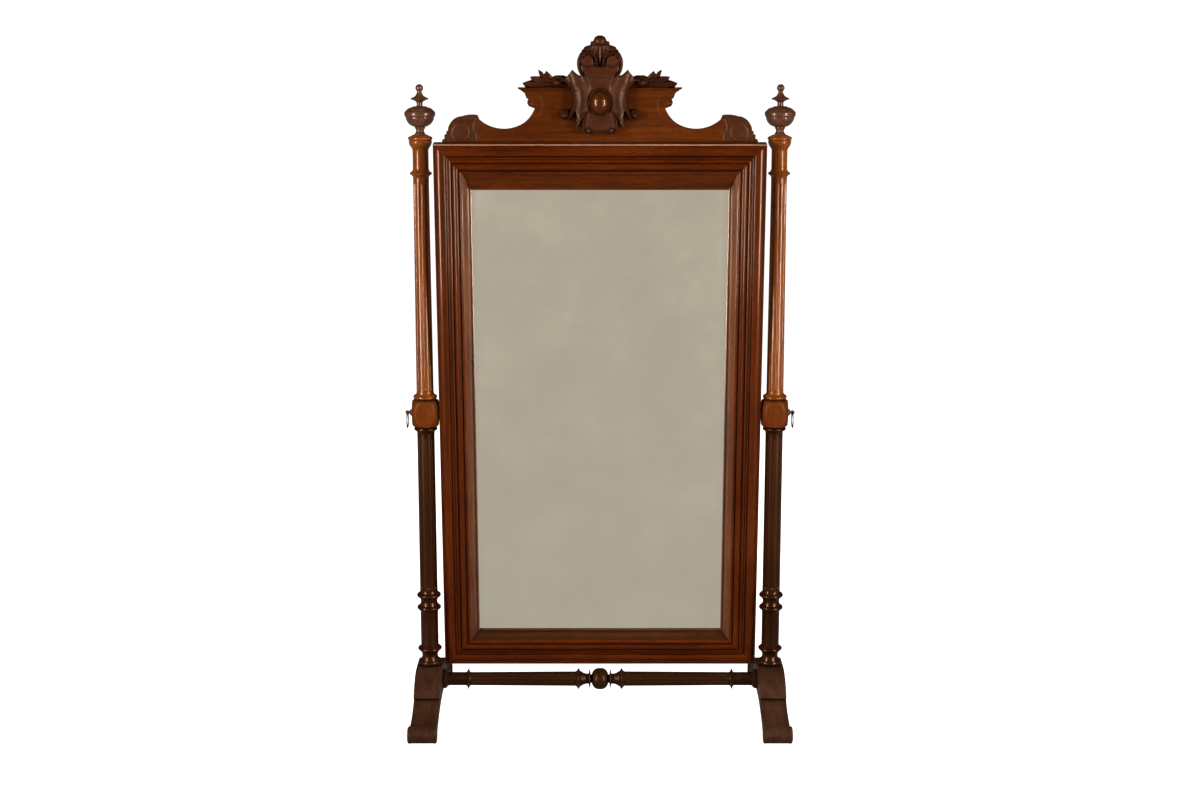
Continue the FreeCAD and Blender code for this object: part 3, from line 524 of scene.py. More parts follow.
def stretcher():
    low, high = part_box("stretcher")
    z0 = (low.z + high.z) / 2.0 / MM
    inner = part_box("right_foot")[0].x / MM + 3.0
    flutes = (86.0, inner - 98.0)
    half = drawn([(32.0, 0.0), (29.0, 14.5, 14.0, 24.8)], 12) + [(12.6, 26.0), (12.6, 28.0), (20.0, 28.8)]
    half += [(27.2, 29.6), (28.0, 31.0), (27.2, 32.4), (20.0, 33.4), (15.4, 35.0)]
    half += hollow((15.2, 36.0), (21.0, 55.0), 1.6) + [(22.5, 56.5), (22.8, 58.5), (25.0, 60.5), (30.6, 63.4)]
    half += [(31.5, 65.0), (30.6, 66.6), (25.5, 69.6), (23.4, 72.0), (22.2, 74.0)]
    half += fluted_run(flutes[0], flutes[1], 21.8, 20.0)
    half += [(20.2, inner - 85.0), (22.0, inner - 82.4), (26.5, inner - 80.4), (30.2, inner - 78.9), (31.0, inner - 78.0)]
    half += [(30.2, inner - 77.1), (26.5, inner - 75.6), (22.0, inner - 73.6), (20.2, inner - 71.0)]
    half += [(20.0, inner - 60.0), (20.2, inner - 20.0), (21.0, inner - 17.0), (25.5, inner - 13.5), (28.4, inner - 10.5)]
    half += [(29.0, inner - 8.0), (29.0, inner - 1.5), (28.0, inner - 0.3), (0.0, inner - 0.3)]
    profile = [(r, -s) for r, s in reversed(half)] + half[1:]

    def shape(r, a, s):
        return r - flute_cut(a, abs(s), flutes[0], flutes[1], r, cutter=4.8, depth=2.4)

    bm = bmesh.new()
    turned(bm, profile, lambda r, a, s: (s * MM, -r * math.cos(a) * MM, (z0 + r * math.sin(a)) * MM), shape=shape)
    piece = finished("turned_stretcher", bm, [rail_walnut], sharp=30.0)
    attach(piece, "stand")
    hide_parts("stretcher")


stretcher()

# ---------------------------------------------------------------- moulded frame
# Four lengths of run moulding, mitred and keyed at the corners: a broad swelling band, beads, a step and
# an ovolo that rise towards the sight edge.  Inside it a sloping slip leads back to the glass.

REST_TILT = math.radians(4.1)
HALF_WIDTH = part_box("right_stile")[1].x / MM
FRAME_TOP = 790.0
FRAME_BOTTOM = -789.0
FRAME_BACK = -26.0


def hung(x, n, u):
    """A point of the leaning frame: across, forward of the pivot axis, and up along the frame."""
    y = -n * math.cos(REST_TILT) - u * math.sin(REST_TILT)
    z = pivot_z + u * math.cos(REST_TILT) - n * math.sin(REST_TILT)
    return (x * MM, y * MM, z * MM)


def member(name, side, section, outer_w, outer, inner_w, inner, material, edge=None):
    """One mitred side: the section's mitre runs from the outer rectangle's corner to the inner one's.

    edge is a second material for the arris between the side and the front of the outermost bead, a pale painted
    highlight.
    """
    def corner(w):
        t = (w - outer_w) / (inner_w - outer_w)
        return [o + (i - o) * t for o, i in zip(outer, inner)]

    bm = bmesh.new()
    ends = []
    for end in (0, 1):
        ring = []
        for w, n in section:
            half, top, bottom = corner(w)
            if side in ("left", "right"):
                x = (HALF_WIDTH - w) * (1.0 if side == "right" else -1.0)
                point = hung(x, n, top if end else bottom)
            else:
                u = FRAME_TOP - w if side == "top" else FRAME_BOTTOM + w
                point = hung(half if end else -half, n, u)
            ring.append(bm.verts.new(point))
        ends.append(ring)
    count = len(section)
    for i in range(count):
        j = (i + 1) % count
        face = bm.faces.new((ends[0][i], ends[0][j], ends[1][j], ends[1][i]))
        # Faces 1 to 3 of the section, the outer arris, take the painted highlight.
        face.material_index = 1 if edge is not None and i in (1, 2, 3) else 0
    bm.faces.new(ends[0])
    bm.faces.new(list(reversed(ends[1])))
    return finished(name, bm, [material] if edge is None else [material, edge], sharp=34.0, merge=0.000001)


def moulding_section():
    """The run moulding as (distance in from the outer edge, depth forward)."""
    steps = [(0.0, FRAME_BACK + 0.5), (0.0, 21.4), (0.4, 23.4), (1.5, 25.2), (3.4, 26.4), (5.4, 26.2), (6.2, 25.2)]
    steps += [(6.8, 25.6), (19.0, 31.2, 32.0, 29.4), (33.4, 28.4), (33.9, 26.6), (34.2, 24.2), (35.6, 24.0)]
    steps += [(36.0, 26.4), (36.3, 28.6), (38.9, 31.6, 41.4, 28.8), (41.8, 28.0), (42.2, 30.4)]
    steps += [(43.6, 31.4), (47.0, 34.2, 49.6, 35.0), (50.4, 34.2), (50.7, 31.2), (52.6, 31.0), (53.0, 34.6)]
    steps += [(54.0, 36.6), (61.5, 43.4, 69.6, 41.0), (70.8, 39.6), (71.1, 35.8), (73.2, 35.6), (73.6, 38.6)]
    steps += [(74.4, 41.0), (78.0, 43.0, 81.4, 40.4), (82.0, 38.6)]
    front = drawn(steps, 8)
    back = [(82.0, 10.0), (64.0, 10.0), (64.0, -16.0), (40.0, -16.0), (40.0, FRAME_BACK), (0.5, FRAME_BACK)]
    return front + back


def inset(w):
    return (HALF_WIDTH - w, FRAME_TOP - w, FRAME_BOTTOM + w)


RUN_TONES = ("#3a1402", "#562103", "#6c3006")
stile_walnut = walnut("French-polished walnut moulding, upright", RUN_TONES, along="Z", lean=REST_TILT, gloss=0.12,
                      coat=0.12, painted_shade_reach=0.006)
cross_walnut = walnut("French-polished walnut moulding, level", RUN_TONES, along="X", lean=REST_TILT, gloss=0.12,
                      coat=0.12, painted_shade_reach=0.006)
# The top rail's outer arris gets a pale copy of the walnut: a painted highlight.
painted_highlight_arris = walnut("walnut arris with a painted highlight", ("#a27a64", "#b98f78", "#cba48d"), along="X",
                      lean=REST_TILT, gloss=0.16, coat=0.3, specular=0.5)
SIDES = {"left": "stile", "right": "stile", "top": "rail", "bottom": "rail"}
for side, kind in SIDES.items():
    wood = stile_walnut if kind == "stile" else cross_walnut
    piece = member(side + "_run_moulding", side, moulding_section(), 0.0, inset(0.0), 82.0, inset(82.0), wood,
                   painted_highlight_arris if side == "top" else None)
    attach(piece, "mirror")
    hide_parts(side + "_" + kind)

upright_slip_walnut = walnut("polished walnut slip, upright", ("#3a1a08", "#53290e", "#673816"), along="Z",
                             lean=REST_TILT, gloss=0.1, coat=0.6, specular=0.3, painted_shade_reach=0.005)
level_slip_walnut = walnut("polished walnut slip, level", ("#3a1603", "#562504", "#6c3308"), along="X",
                           lean=REST_TILT, gloss=0.14, coat=0.1, painted_shade_reach=0.005)
# The bottom slip's darker copy of the level slip walnut is painted shade.
low_slip_painted_shade_walnut = walnut("polished walnut slip, level, painted shade", ("#2b1608", "#3c210d", "#4a2d14"), along="X",
                         lean=REST_TILT, gloss=0.14, coat=0.2, painted_shade_reach=0.005)
SLIP_WIDTHS = {"left": 24.0, "right": 24.0, "top": 50.0, "bottom": 24.0}
glass_opening = (HALF_WIDTH - 82.0 - 24.0, FRAME_TOP - 82.0 - 50.0, FRAME_BOTTOM + 82.0 + 24.0)
for side, width in SLIP_WIDTHS.items():
    inner = 82.0 + width
    face = drawn([(82.0, 33.0), (82.0 + width * 0.3, 27.0, inner - 7.5, 13.0), (inner - 6.8, 11.6), (inner - 5.6, 11.4),
                  (inner - 2.6, 11.6, inner - 0.4, 8.6), (inner, 6.6), (inner, 2.4)], 10)
    section = face + [(82.0, 2.4)]
    # The bottom slip takes the painted shade copy.
    wood = {"top": level_slip_walnut, "bottom": low_slip_painted_shade_walnut}.get(side, upright_slip_walnut)
    piece = member(side + "_sloped_slip", side, section, 82.0, inset(82.0), inner, glass_opening, wood)
    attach(piece, "mirror")
    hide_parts(side + "_slip")

# ---------------------------------------------------------------- glass
# The pane is old silvered plate glass: a faint grey-green cast, slightly clouded silvering, and small
# brown spots where the silver has lifted.


def old_mirror():
    made = bpy.data.materials.new("aged silvered plate glass")
    made.use_nodes = True
    tree = made.node_tree
    shader = tree.nodes["Principled BSDF"]
    place = add_node(tree, "ShaderNodeTexCoord")
    cloud = add_node(tree, "ShaderNodeTexNoise", {"Vector": place.outputs["Object"], "Scale": 4.0, "Detail": 6.0,
                                                  "Roughness": 0.7})
    tone = ramp(tree, cloud.outputs[0], [(0.3, "#e6dcc3"), (0.7, "#ece2cb")])
    fine = add_node(tree, "ShaderNodeTexNoise", {"Vector": place.outputs["Object"], "Scale": 26.0, "Detail": 8.0,
                                                 "Roughness": 0.75})
    foxed = ramp(tree, fine.outputs[0], [(0.70, "#ffffff"), (0.78, "#d9b48c")])
    final = add_node(tree, "ShaderNodeMix", {0: 1.0, 6: tone.outputs[0], 7: foxed.outputs[0]}, data_type="RGBA",
                     blend_type="MULTIPLY")
    tree.links.new(final.outputs[2], shader.inputs["Base Color"])
    haze = add_node(tree, "ShaderNodeMapRange", {0: cloud.outputs[0], 1: 0.3, 2: 0.7, 3: 0.1, 4: 0.2})
    tree.links.new(haze.outputs[0], shader.inputs["Roughness"])
    shader.inputs["Metallic"].default_value = 1.0
    return made


silvered = old_mirror()
pane = frame["nodes"]["mirror_glass"]
pane.data.materials.clear()
pane.data.materials.append(silvered)

# ---------------------------------------------------------------- crest board
# The crest is one sawn walnut board standing on the top rail, with a scrolled ear at each end and a small
# volute at each side of its neck.  Their lines are cut in by hand with a veiner.

crest_low, crest_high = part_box("cartouche")
BOARD_FRONT = FRAME_BACK + 20.0
CORNICE_TOP = 154.0


def crest_point(x, h, n):
    """A point of the crest: across, height above the frame's top edge, and depth forward of the axis."""
    return hung(x, n, FRAME_TOP + h)


def distance_to(xs, hs, path):
    """Shortest distance from each of the points to a path, in the crest's own plane."""
    best = np.full(xs.shape, 1.0e9)
    for (ax, ah), (bx, bh) in zip(path, path[1:]):
        dx, dh = bx - ax, bh - ah
        t = np.clip(((xs - ax) * dx + (hs - ah) * dh) / (dx * dx + dh * dh + 1.0e-9), 0.0, 1.0)
        best = np.minimum(best, np.hypot(xs - ax - t * dx, hs - ah - t * dh))
    return best


def spiral(x, h, outer, inner, start, turns, count=40):
    """Points that wind in from the outer to the inner radius, from a start angle in degrees."""
    points = []
    for i in range(count + 1):
        a = math.radians(start + 360.0 * turns * i / count)
        r = outer * (inner / outer) ** (i / count)
        points.append((x + r * math.cos(a), h + r * math.sin(a)))
    return points


def mirrored(points):
    return [(-x, h) for x, h in points]


def subdivided(outline, spacing):
    points = []
    for (ax, ah), (bx, bh) in zip(outline, outline[1:] + outline[:1]):
        steps = max(1, round(math.hypot(bx - ax, bh - ah) / spacing))
        points += [(ax + (bx - ax) * i / steps, ah + (bh - ah) * i / steps) for i in range(steps)]
    return points


def relief(name, outline, surface, back, spacing, material, lines=(), sharp=42.0):
    """Carved slab: its front follows surface(x, h) inside the outline, its walls go straight to the back.

    Its mesh is twice as fine beside the lines, which are paths in its right half.
    """
    rim = subdivided(outline, spacing)
    rim_x = [p[0] for p in rim]
    rim_h = [p[1] for p in rim]
    xs, hs = np.meshgrid(np.arange(min(rim_x), max(rim_x), spacing), np.arange(min(rim_h), max(rim_h), spacing))
    xs, hs = xs.ravel(), hs.ravel()
    inside = np.zeros(xs.shape, bool)
    for (ax, ah), (bx, bh) in zip(rim, rim[1:] + rim[:1]):
        if ah != bh:
            crosses = ((ah > hs) != (bh > hs)) & (xs < (bx - ax) * (hs - ah) / (bh - ah) + ax)
            inside ^= crosses
    keep = inside & (distance_to(xs, hs, rim + rim[:1]) > spacing * 0.45)
    if lines:
        beside = keep & (np.min([distance_to(np.abs(xs), hs, line) for line in lines], axis=0) < 4.5)
        shifts = [(0.5, 0.0), (0.0, 0.5), (0.5, 0.5)]
        extra_x = np.concatenate([xs[beside] + spacing * i for i, j in shifts])
        extra_h = np.concatenate([hs[beside] + spacing * j for i, j in shifts])
        clear = distance_to(extra_x, extra_h, rim + rim[:1]) > spacing * 0.9
        flat = rim + list(zip(xs[keep], hs[keep])) + list(zip(extra_x[clear], extra_h[clear]))
    else:
        flat = rim + list(zip(xs[keep], hs[keep]))
    count = len(rim)
    loop = [(i, (i + 1) % count) for i in range(count)]
    made = delaunay_2d_cdt([Vector(p) for p in flat], loop, [list(range(count))], 1, 1.0e-4)
    px = np.array([v.x for v in made[0]])
    ph = np.array([v.y for v in made[0]])
    pn = surface(px, ph)
    bm = bmesh.new()
    front = [bm.verts.new(crest_point(x, h, n)) for x, h, n in zip(px, ph, pn)]
    for triangle in made[2]:
        bm.faces.new([front[i] for i in triangle])
    bm.edges.ensure_lookup_table()
    borders = [e for e in bm.edges if len(e.link_faces) == 1]
    rear = {}
    index = {v: i for i, v in enumerate(front)}
    for edge in borders:
        for v in edge.verts:
            if v not in rear:
                i = index[v]
                rear[v] = bm.verts.new(crest_point(px[i], ph[i], back))
    back_edges = []
    for edge in borders:
        a, b = edge.verts
        bm.faces.new((a, b, rear[b], rear[a]))
        back_edges.append(bm.edges.get((rear[a], rear[b])))
    bmesh.ops.contextual_create(bm, geom=back_edges)
    return finished(name, bm, [material], sharp=sharp, merge=0.0000005)


carved_walnut = walnut("hand-carved walnut, waxed", ("#2c1207", "#421f0c", "#552d15"), along="X", lean=REST_TILT,
                       gloss=0.34, coat=0.07, painted_shade_reach=0.010)
board_walnut = walnut("polished walnut board, grain level", ("#3a1703", "#552404", "#6c3406"), along="X",
                      lean=REST_TILT, gloss=0.26, coat=0.04, painted_shade_reach=0.010)

top = CORNICE_TOP
ear = drawn([(448.0, 0.0), (446.0, 8.0), (439.0, 11.0), (440.5, 21.0), (434.0, 23.0), (434.5, 31.0), (430.0, 32.0),
             (419.0, 60.0, 391.0, 73.0), (368.0, 77.5, 346.0, 76.5), (341.0, 64.0), (284.0, 38.5, 212.0, 57.0),
             (196.0, 74.0, 184.0, top - 57.0)], 18)
neck = drawn([(184.0, top - 57.0), (192.0, top - 54.5), (201.0, top - 50.5), (204.5, top - 43.0),
              (204.0, top - 36.0), (201.0, top - 32.0), (207.0, top - 28.0), (212.0, top - 14.0)], 10)
half_board = ear + neck[1:]
ear_lines = [spiral(391.0, 30.0, 33.0, 15.0, -60.0, 1.1, 60),
             drawn([(351.0, 9.0), (352.0, 24.0, 357.0, 34.0), (359.0, 50.0, 352.0, 66.0)], 14)]
neck_lines = [drawn([(171.0, top - 22.0), (163.0, top - 50.0, 181.0, top - 80.0), (192.0, 66.0, 207.0, 55.0)], 14),
              spiral(196.0, top - 43.0, 5.6, 2.2, 150.0, 0.9, 18)]


def board_surface(xs, hs):
    a = np.abs(xs)
    n = np.full(xs.shape, BOARD_FRONT)
    for path, depth, half in [(ear_lines[0], 1.1, 2.0), (ear_lines[1], 0.8, 1.8), (neck_lines[0], 0.8, 1.8),
                              (neck_lines[1], 1.4, 1.3)]:
        n -= depth * np.exp(-(distance_to(a, hs, path) / half) ** 2)
    dome = np.clip(1.0 - np.hypot(a - 390.0, hs - 32.0) / 30.0, 0.0, 1.0)
    return n + 2.4 * np.sqrt(dome) - 0.8 * np.clip((a - 340.0) / 20.0, 0.0, 1.0)


board = relief("sawn_crest_board", half_board + mirrored(list(reversed(half_board))), board_surface, FRAME_BACK, 2.0,
               board_walnut, ear_lines + neck_lines)
board.data.materials.append(carved_walnut)
for polygon in board.data.polygons:
    if abs(polygon.center.x) > 0.347 and polygon.center.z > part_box("top_rail")[1].z:
        polygon.material_index = 1
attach(board, "mirror")
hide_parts("crest_board")

# ---------------------------------------------------------------- cornice
# A small moulded cap is glued along the top of the crest board on each side, its outer end cut to a point.


def cornice(side):
    sign = -1.0 if side == "left" else 1.0
    section = drawn([(BOARD_FRONT - 1.0, top - 14.0), (BOARD_FRONT + 1.8, top - 13.6), (BOARD_FRONT + 2.4, top - 11.6),
                     (BOARD_FRONT + 2.6, top - 10.4), (BOARD_FRONT + 4.2, top - 6.4, BOARD_FRONT + 8.0, top - 4.2),
                     (BOARD_FRONT + 8.9, top - 3.6), (BOARD_FRONT + 9.2, top - 1.4), (BOARD_FRONT + 8.4, top)], 6)
    section += [(FRAME_BACK, top), (FRAME_BACK, top - 14.0)]
    bm = bmesh.new()
    rows = []
    for step in range(2):
        row = []
        for n, h in section:
            x = 76.0 if step == 0 else 212.0 + 19.0 * max(0.0, (h - top + 14.0)) / 14.0
            row.append(bm.verts.new(crest_point(sign * x, h, n)))
        rows.append(row)
    count = len(section)
    for i in range(count):
        j = (i + 1) % count
        bm.faces.new((rows[0][i], rows[0][j], rows[1][j], rows[1][i]))
    bm.faces.new(rows[0])
    bm.faces.new(list(reversed(rows[1])))
    piece = finished(side + "_cornice_cap", bm, [board_walnut], sharp=30.0, merge=0.000001)
    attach(piece, "mirror")
    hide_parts(side + "_cornice")


for side in ("left", "right"):
    cornice(side)

# ---------------------------------------------------------------- leaf sprays and C-scrolls
# Leaves carved in the round fan out along the cornice from behind each C-scroll.  The scroll is a bold
# strap that turns out of one volute, round the cartouche, and into another.


def smooth_path(points, count=8):
    """A curve that passes through the points, as a carver would sweep it by eye."""
    ends = [(2 * points[0][0] - points[1][0], 2 * points[0][1] - points[1][1])] + list(points)
    ends.append((2 * points[-1][0] - points[-2][0], 2 * points[-1][1] - points[-2][1]))
    made = []
    for p0, p1, p2, p3 in zip(ends, ends[1:], ends[2:], ends[3:]):
        for i in range(count):
            t = i / count
            made.append(tuple(0.5 * (2 * b + (c - a) * t + (2 * a - 5 * b + 4 * c - d) * t * t
                                     + (3 * b - a - 3 * c + d) * t ** 3) for a, b, c, d in zip(p0, p1, p2, p3)))
    return made + [tuple(points[-1])]


def swell(d, half, rise):
    return rise * np.sqrt(np.clip(1.0 - (d / half) ** 2, 0.0, 1.0))


def fade(value, low, high):
    t = np.clip((value - low) / (high - low), 0.0, 1.0)
    return t * t * (3.0 - 2.0 * t)


def strap(bm, path, width, low, rise, sign=1.0, crease=0.0, round_by=0.5, steps=10):
    """Carved strap along a path: width(t) wide at t from 0 to 1, standing from low to low + rise(t)."""
    rings = []
    count = len(path) - 1
    for i, (x, h) in enumerate(path):
        t = i / count
        ax, ah = path[max(0, i - 1)]
        bx, bh = path[min(count, i + 1)]
        length = math.hypot(bx - ax, bh - ah) or 1.0
        ox, oh = -(bh - ah) / length, (bx - ax) / length
        half = max(0.05, width(t) / 2.0)
        bottom = low(t) if callable(low) else low
        ring = [bm.verts.new(crest_point(sign * (x + ox * half * s), h + oh * half * s, bottom)) for s in (1.0, -1.0)]
        arch = []
        for k in range(steps + 1):
            s = -math.cos(math.pi * k / steps)
            lift = max(0.0, 1.0 - s * s) ** round_by * (1.0 - crease * math.exp(-(s / 0.22) ** 2))
            point = crest_point(sign * (x + ox * half * s), h + oh * half * s, bottom + 1.0 + rise(t) * lift)
            arch.append(bm.verts.new(point))
        rings.append(ring + arch)
    size = len(rings[0])
    for a, b in zip(rings, rings[1:]):
        for k in range(size):
            m = (k + 1) % size
            bm.faces.new((a[k], a[m], b[m], b[k]))
    bm.faces.new(rings[0])
    bm.faces.new(list(reversed(rings[-1])))


def dome(bm, x, h, radius, low, rise, sign=1.0, squash=1.0, rings=8, turns=24):
    """Round boss, such as a volute's eye."""
    rows = []
    for i in range(rings + 1):
        a = math.pi / 2.0 * i / rings
        r = radius * math.cos(a)
        rows.append([bm.verts.new(crest_point(sign * (x + r * math.cos(2 * math.pi * k / turns)),
                                              h + squash * r * math.sin(2 * math.pi * k / turns),
                                              low + rise * math.sin(a))) for k in range(turns)])
    rows.insert(0, [bm.verts.new(crest_point(sign * (x + radius * math.cos(2 * math.pi * k / turns)),
                                             h + squash * radius * math.sin(2 * math.pi * k / turns), low - 6.0))
                    for k in range(turns)])
    for a, b in zip(rows, rows[1:]):
        for k in range(turns):
            m = (k + 1) % turns
            bm.faces.new((a[k], a[m], b[m], b[k]))
    bm.faces.new(rows[0])


leaf_tips = [((100, 158), (160, 158), (217, 166), 10.0, -15.0), ((104, 166), (150, 170), (195, 184), 10.0, -13.0),
             ((104, 172), (140, 180), (173, 203), 10.0, -11.0), ((104, 176), (128, 182), (150, 200), 8.0, -12.5),
             ((90, 160), (112, 170), (132, 186), 11.0, -9.0), ((72, 158), (90, 166), (112, 178), 12.0, -12.0)]
spray_outline = [(74.0, 150.0), (206.0, 150.0), (211.0, 157.0), (217.5, 166.5), (207.0, 171.0), (192.0, 175.5),
                 (195.5, 184.5), (183.0, 185.5), (169.0, 185.0), (173.0, 203.5), (162.0, 197.5), (157.5, 191.0),
                 (150.5, 200.5), (141.0, 192.0), (133.0, 184.0), (124.0, 188.0), (104.0, 188.0), (84.0, 182.0)]


def spray_surface(xs, hs):
    a = np.abs(xs)
    n = np.full(xs.shape, -15.5)
    for start, middle, tip, half, low in leaf_tips:
        axis = smooth_path([start, middle, tip], 8)
        d = distance_to(a, hs, axis)
        n = np.maximum(n, np.where(d < half, low + swell(d, half, 10.0) - 3.0 * np.exp(-(d / 1.5) ** 2), -99.0))
    return n


def leaf_spray(side):
    sign = -1.0 if side == "left" else 1.0
    edge = [(sign * x, h) for x, h in spray_outline]
    piece = relief(side + "_carved_leaves", edge, spray_surface, -20.0, 1.5, carved_walnut)
    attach(piece, "mirror")
    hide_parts(side + "_leaf_spray")


def c_scroll(side):
    sign = -1.0 if side == "left" else 1.0
    bm = bmesh.new()
    upper = list(reversed(spiral(120.0, 172.0, 11.5, 4.0, 155.0, -1.15, 44)))
    lower = spiral(96.5, 80.0, 13.0, 4.5, 172.0, 1.15, 44)
    sweep = smooth_path([upper[-1], (98.0, 177.0), (83.0, 164.0), (73.0, 144.0), (69.0, 122.0), (70.5, 104.0),
                         (77.0, 90.0), lower[0]], 10)
    path = upper + sweep[1:] + lower[1:]
    strap(bm, path, lambda t: 7.5 + 4.5 * math.sin(math.pi * t) ** 1.5, BOARD_FRONT - 2.0,
          lambda t: 33.0 + 2.0 * math.cos(4.0 * math.pi * t), sign, round_by=0.5, steps=12)
    dome(bm, 120.0, 172.0, 14.5, BOARD_FRONT, 31.0, sign)
    dome(bm, 97.5, 80.0, 17.0, BOARD_FRONT, 31.0, sign, squash=0.92)
    dome(bm, 121.0, 171.0, 8.0, BOARD_FRONT + 23.0, 13.5, sign)
    dome(bm, 99.0, 80.0, 8.5, BOARD_FRONT + 23.0, 13.5, sign)
    piece = finished(side + "_carved_scroll", bm, [carved_walnut], sharp=50.0)
    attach(piece, "mirror")
    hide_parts(side + "_c_scroll")


for side in ("left", "right"):
    leaf_spray(side)
    c_scroll(side)

# ---------------------------------------------------------------- cartouche
# The middle of the crest is a carved cartouche: a knob over two inward scrolls and a tongue, hollow wings,
# an egg-shaped boss, and a scaled shield that ends in two small volutes joined by a bar.

half_cartouche = [(0, 32), (25, 32), (29, 26), (36, 23.5), (43, 26), (48, 33), (50, 43), (49.5, 54), (46, 66), (41, 77),
                  (37, 85), (45, 80), (52, 69), (58, 57), (64, 46), (69, 49), (68, 60), (64, 74), (66, 86), (72, 96),
                  (67, 112), (68, 138), (79, 160), (97, 178), (92, 187), (84, 196), (78, 205), (70, 197), (61, 190),
                  (53.5, 188), (58, 198), (62, 211), (63.5, 225), (61, 240), (56, 250), (50.5, 255.5), (51.5, 258),
                  (46, 262), (44, 267), (36, 270.5), (27.5, 272.5), (27, 277), (25, 282.5), (19, 283.5), (17.5, 286.5),
                  (16.5, 289.5), (14, 293.5), (10.5, 296.5), (5.5, 298.5), (0, 299)]
rim_heights = [60.0, 86.0, 104.0, 116.0, 130.0, 145.0, 159.0, 172.0, 186.0, 205.0]
rim_reach = [60.0, 76.0, 69.0, 66.0, 66.0, 69.0, 79.0, 92.0, 92.0, 78.0]


def cartouche_surface(xs, hs):
    a = np.abs(xs)
    reach = np.interp(hs, rim_heights, rim_reach)
    t = np.clip(a / reach, 0.0, 1.2)
    cove = 10.0 + 7.0 * np.clip((58.0 - a) / 34.0, 0.0, 1.0) ** 1.5 + 9.0 * np.clip((t - 0.62) / 0.38, 0.0, 1.0) ** 2
    flame = 0.9 * np.cos((a - 0.3 * (hs - 150.0)) * 0.36) * fade(hs, 160.0, 178.0) * fade(a, 40.0, 56.0)
    wing = cove + flame - 4.0 * fade(hs, 178.0, 204.0)
    strap_half = np.interp(hs, [140.0, 160.0, 185.0, 205.0, 215.0], [25.0, 30.0, 41.0, 51.0, 60.0])
    inner = 16.5 + 2.5 * (1.0 - (a / strap_half) ** 2).clip(0.0, 1.0)
    n = wing + (inner - wing) * (1.0 - fade(a - strap_half, -7.0, 3.0)) * fade(hs, 140.0, 156.0)
    n -= 1.8 * np.exp(-((a - strap_half - 2.0) / 2.2) ** 2) * fade(hs, 150.0, 164.0) * (1.0 - fade(hs, 196.0, 206.0))
    head = 18.0 - 4.5 * fade(a, 46.0, 62.0)
    n = n + (head - n) * fade(hs, 186.0, 206.0)
    eye = np.hypot(a - 34.0, hs - 231.0)
    sunk = 14.5 + 2.2 * (1.0 - (eye / 18.0) ** 2)
    n = n + (sunk - n) * (1.0 - fade(eye, 15.5, 18.5))
    n -= 3.0 * np.exp(-((eye - 17.5) / 1.6) ** 2) * fade(hs, 208.0, 216.0)
    between = (1.0 - fade(a, 15.0, 21.0)) * fade(hs, 212.0, 220.0)
    n = n + (11.0 - n) * between
    brow = 10.0 + 1.2 * np.cos((np.arctan2(hs - 236.0, a) - 0.9) * 15.0)
    n = n + (brow - n) * fade(np.hypot(a * 0.88, hs - 225.0), 36.0, 41.0) * fade(hs, 244.0, 252.0)
    n = np.where(hs > 271.0, 7.0 + 3.0 * (1.0 - fade(np.abs(hs - 277.5), 4.0, 6.0)), n)
    knob = np.hypot(a / 17.5, (hs - 284.0) / 15.2)
    n = np.maximum(n, 6.0 + swell(knob, 1.0, 16.0) * (hs > 276.0))
    ring = np.hypot(a / 32.0, (hs - 115.0) / 39.0)
    n -= 3.5 * np.exp(-((ring - 1.0) / 0.06) ** 2)
    shield_half = np.interp(hs, [24.0, 34.0, 50.0, 70.0, 88.0, 100.0], [46.0, 50.0, 50.0, 45.0, 37.0, 28.0])
    on_shield = (1.0 - fade(hs, 84.0, 92.0)) * (1.0 - fade(a - shield_half, -1.0, 1.5))
    scales = 0.7 * np.abs(np.sin(a * 0.30 + 0.8)) * np.abs(np.sin((hs - 0.10 * a) * 0.36)) * (1.0 - fade(a, 24.0, 32.0))
    shield = 13.0 + 4.0 * (1.0 - (a / 52.0) ** 2) + 4.0 * fade(a / shield_half, 0.6, 0.95) + scales
    n = n + (shield - n) * on_shield
    leg = distance_to(a, hs, [(33.0, 92.0), (46.0, 80.0), (55.0, 66.0), (64.0, 48.0)])
    ridge = np.where(leg < 3.2, 13.0 + swell(leg, 3.2, 5.0), -50.0)
    return np.where(on_shield < 0.5, np.maximum(n, ridge), n)


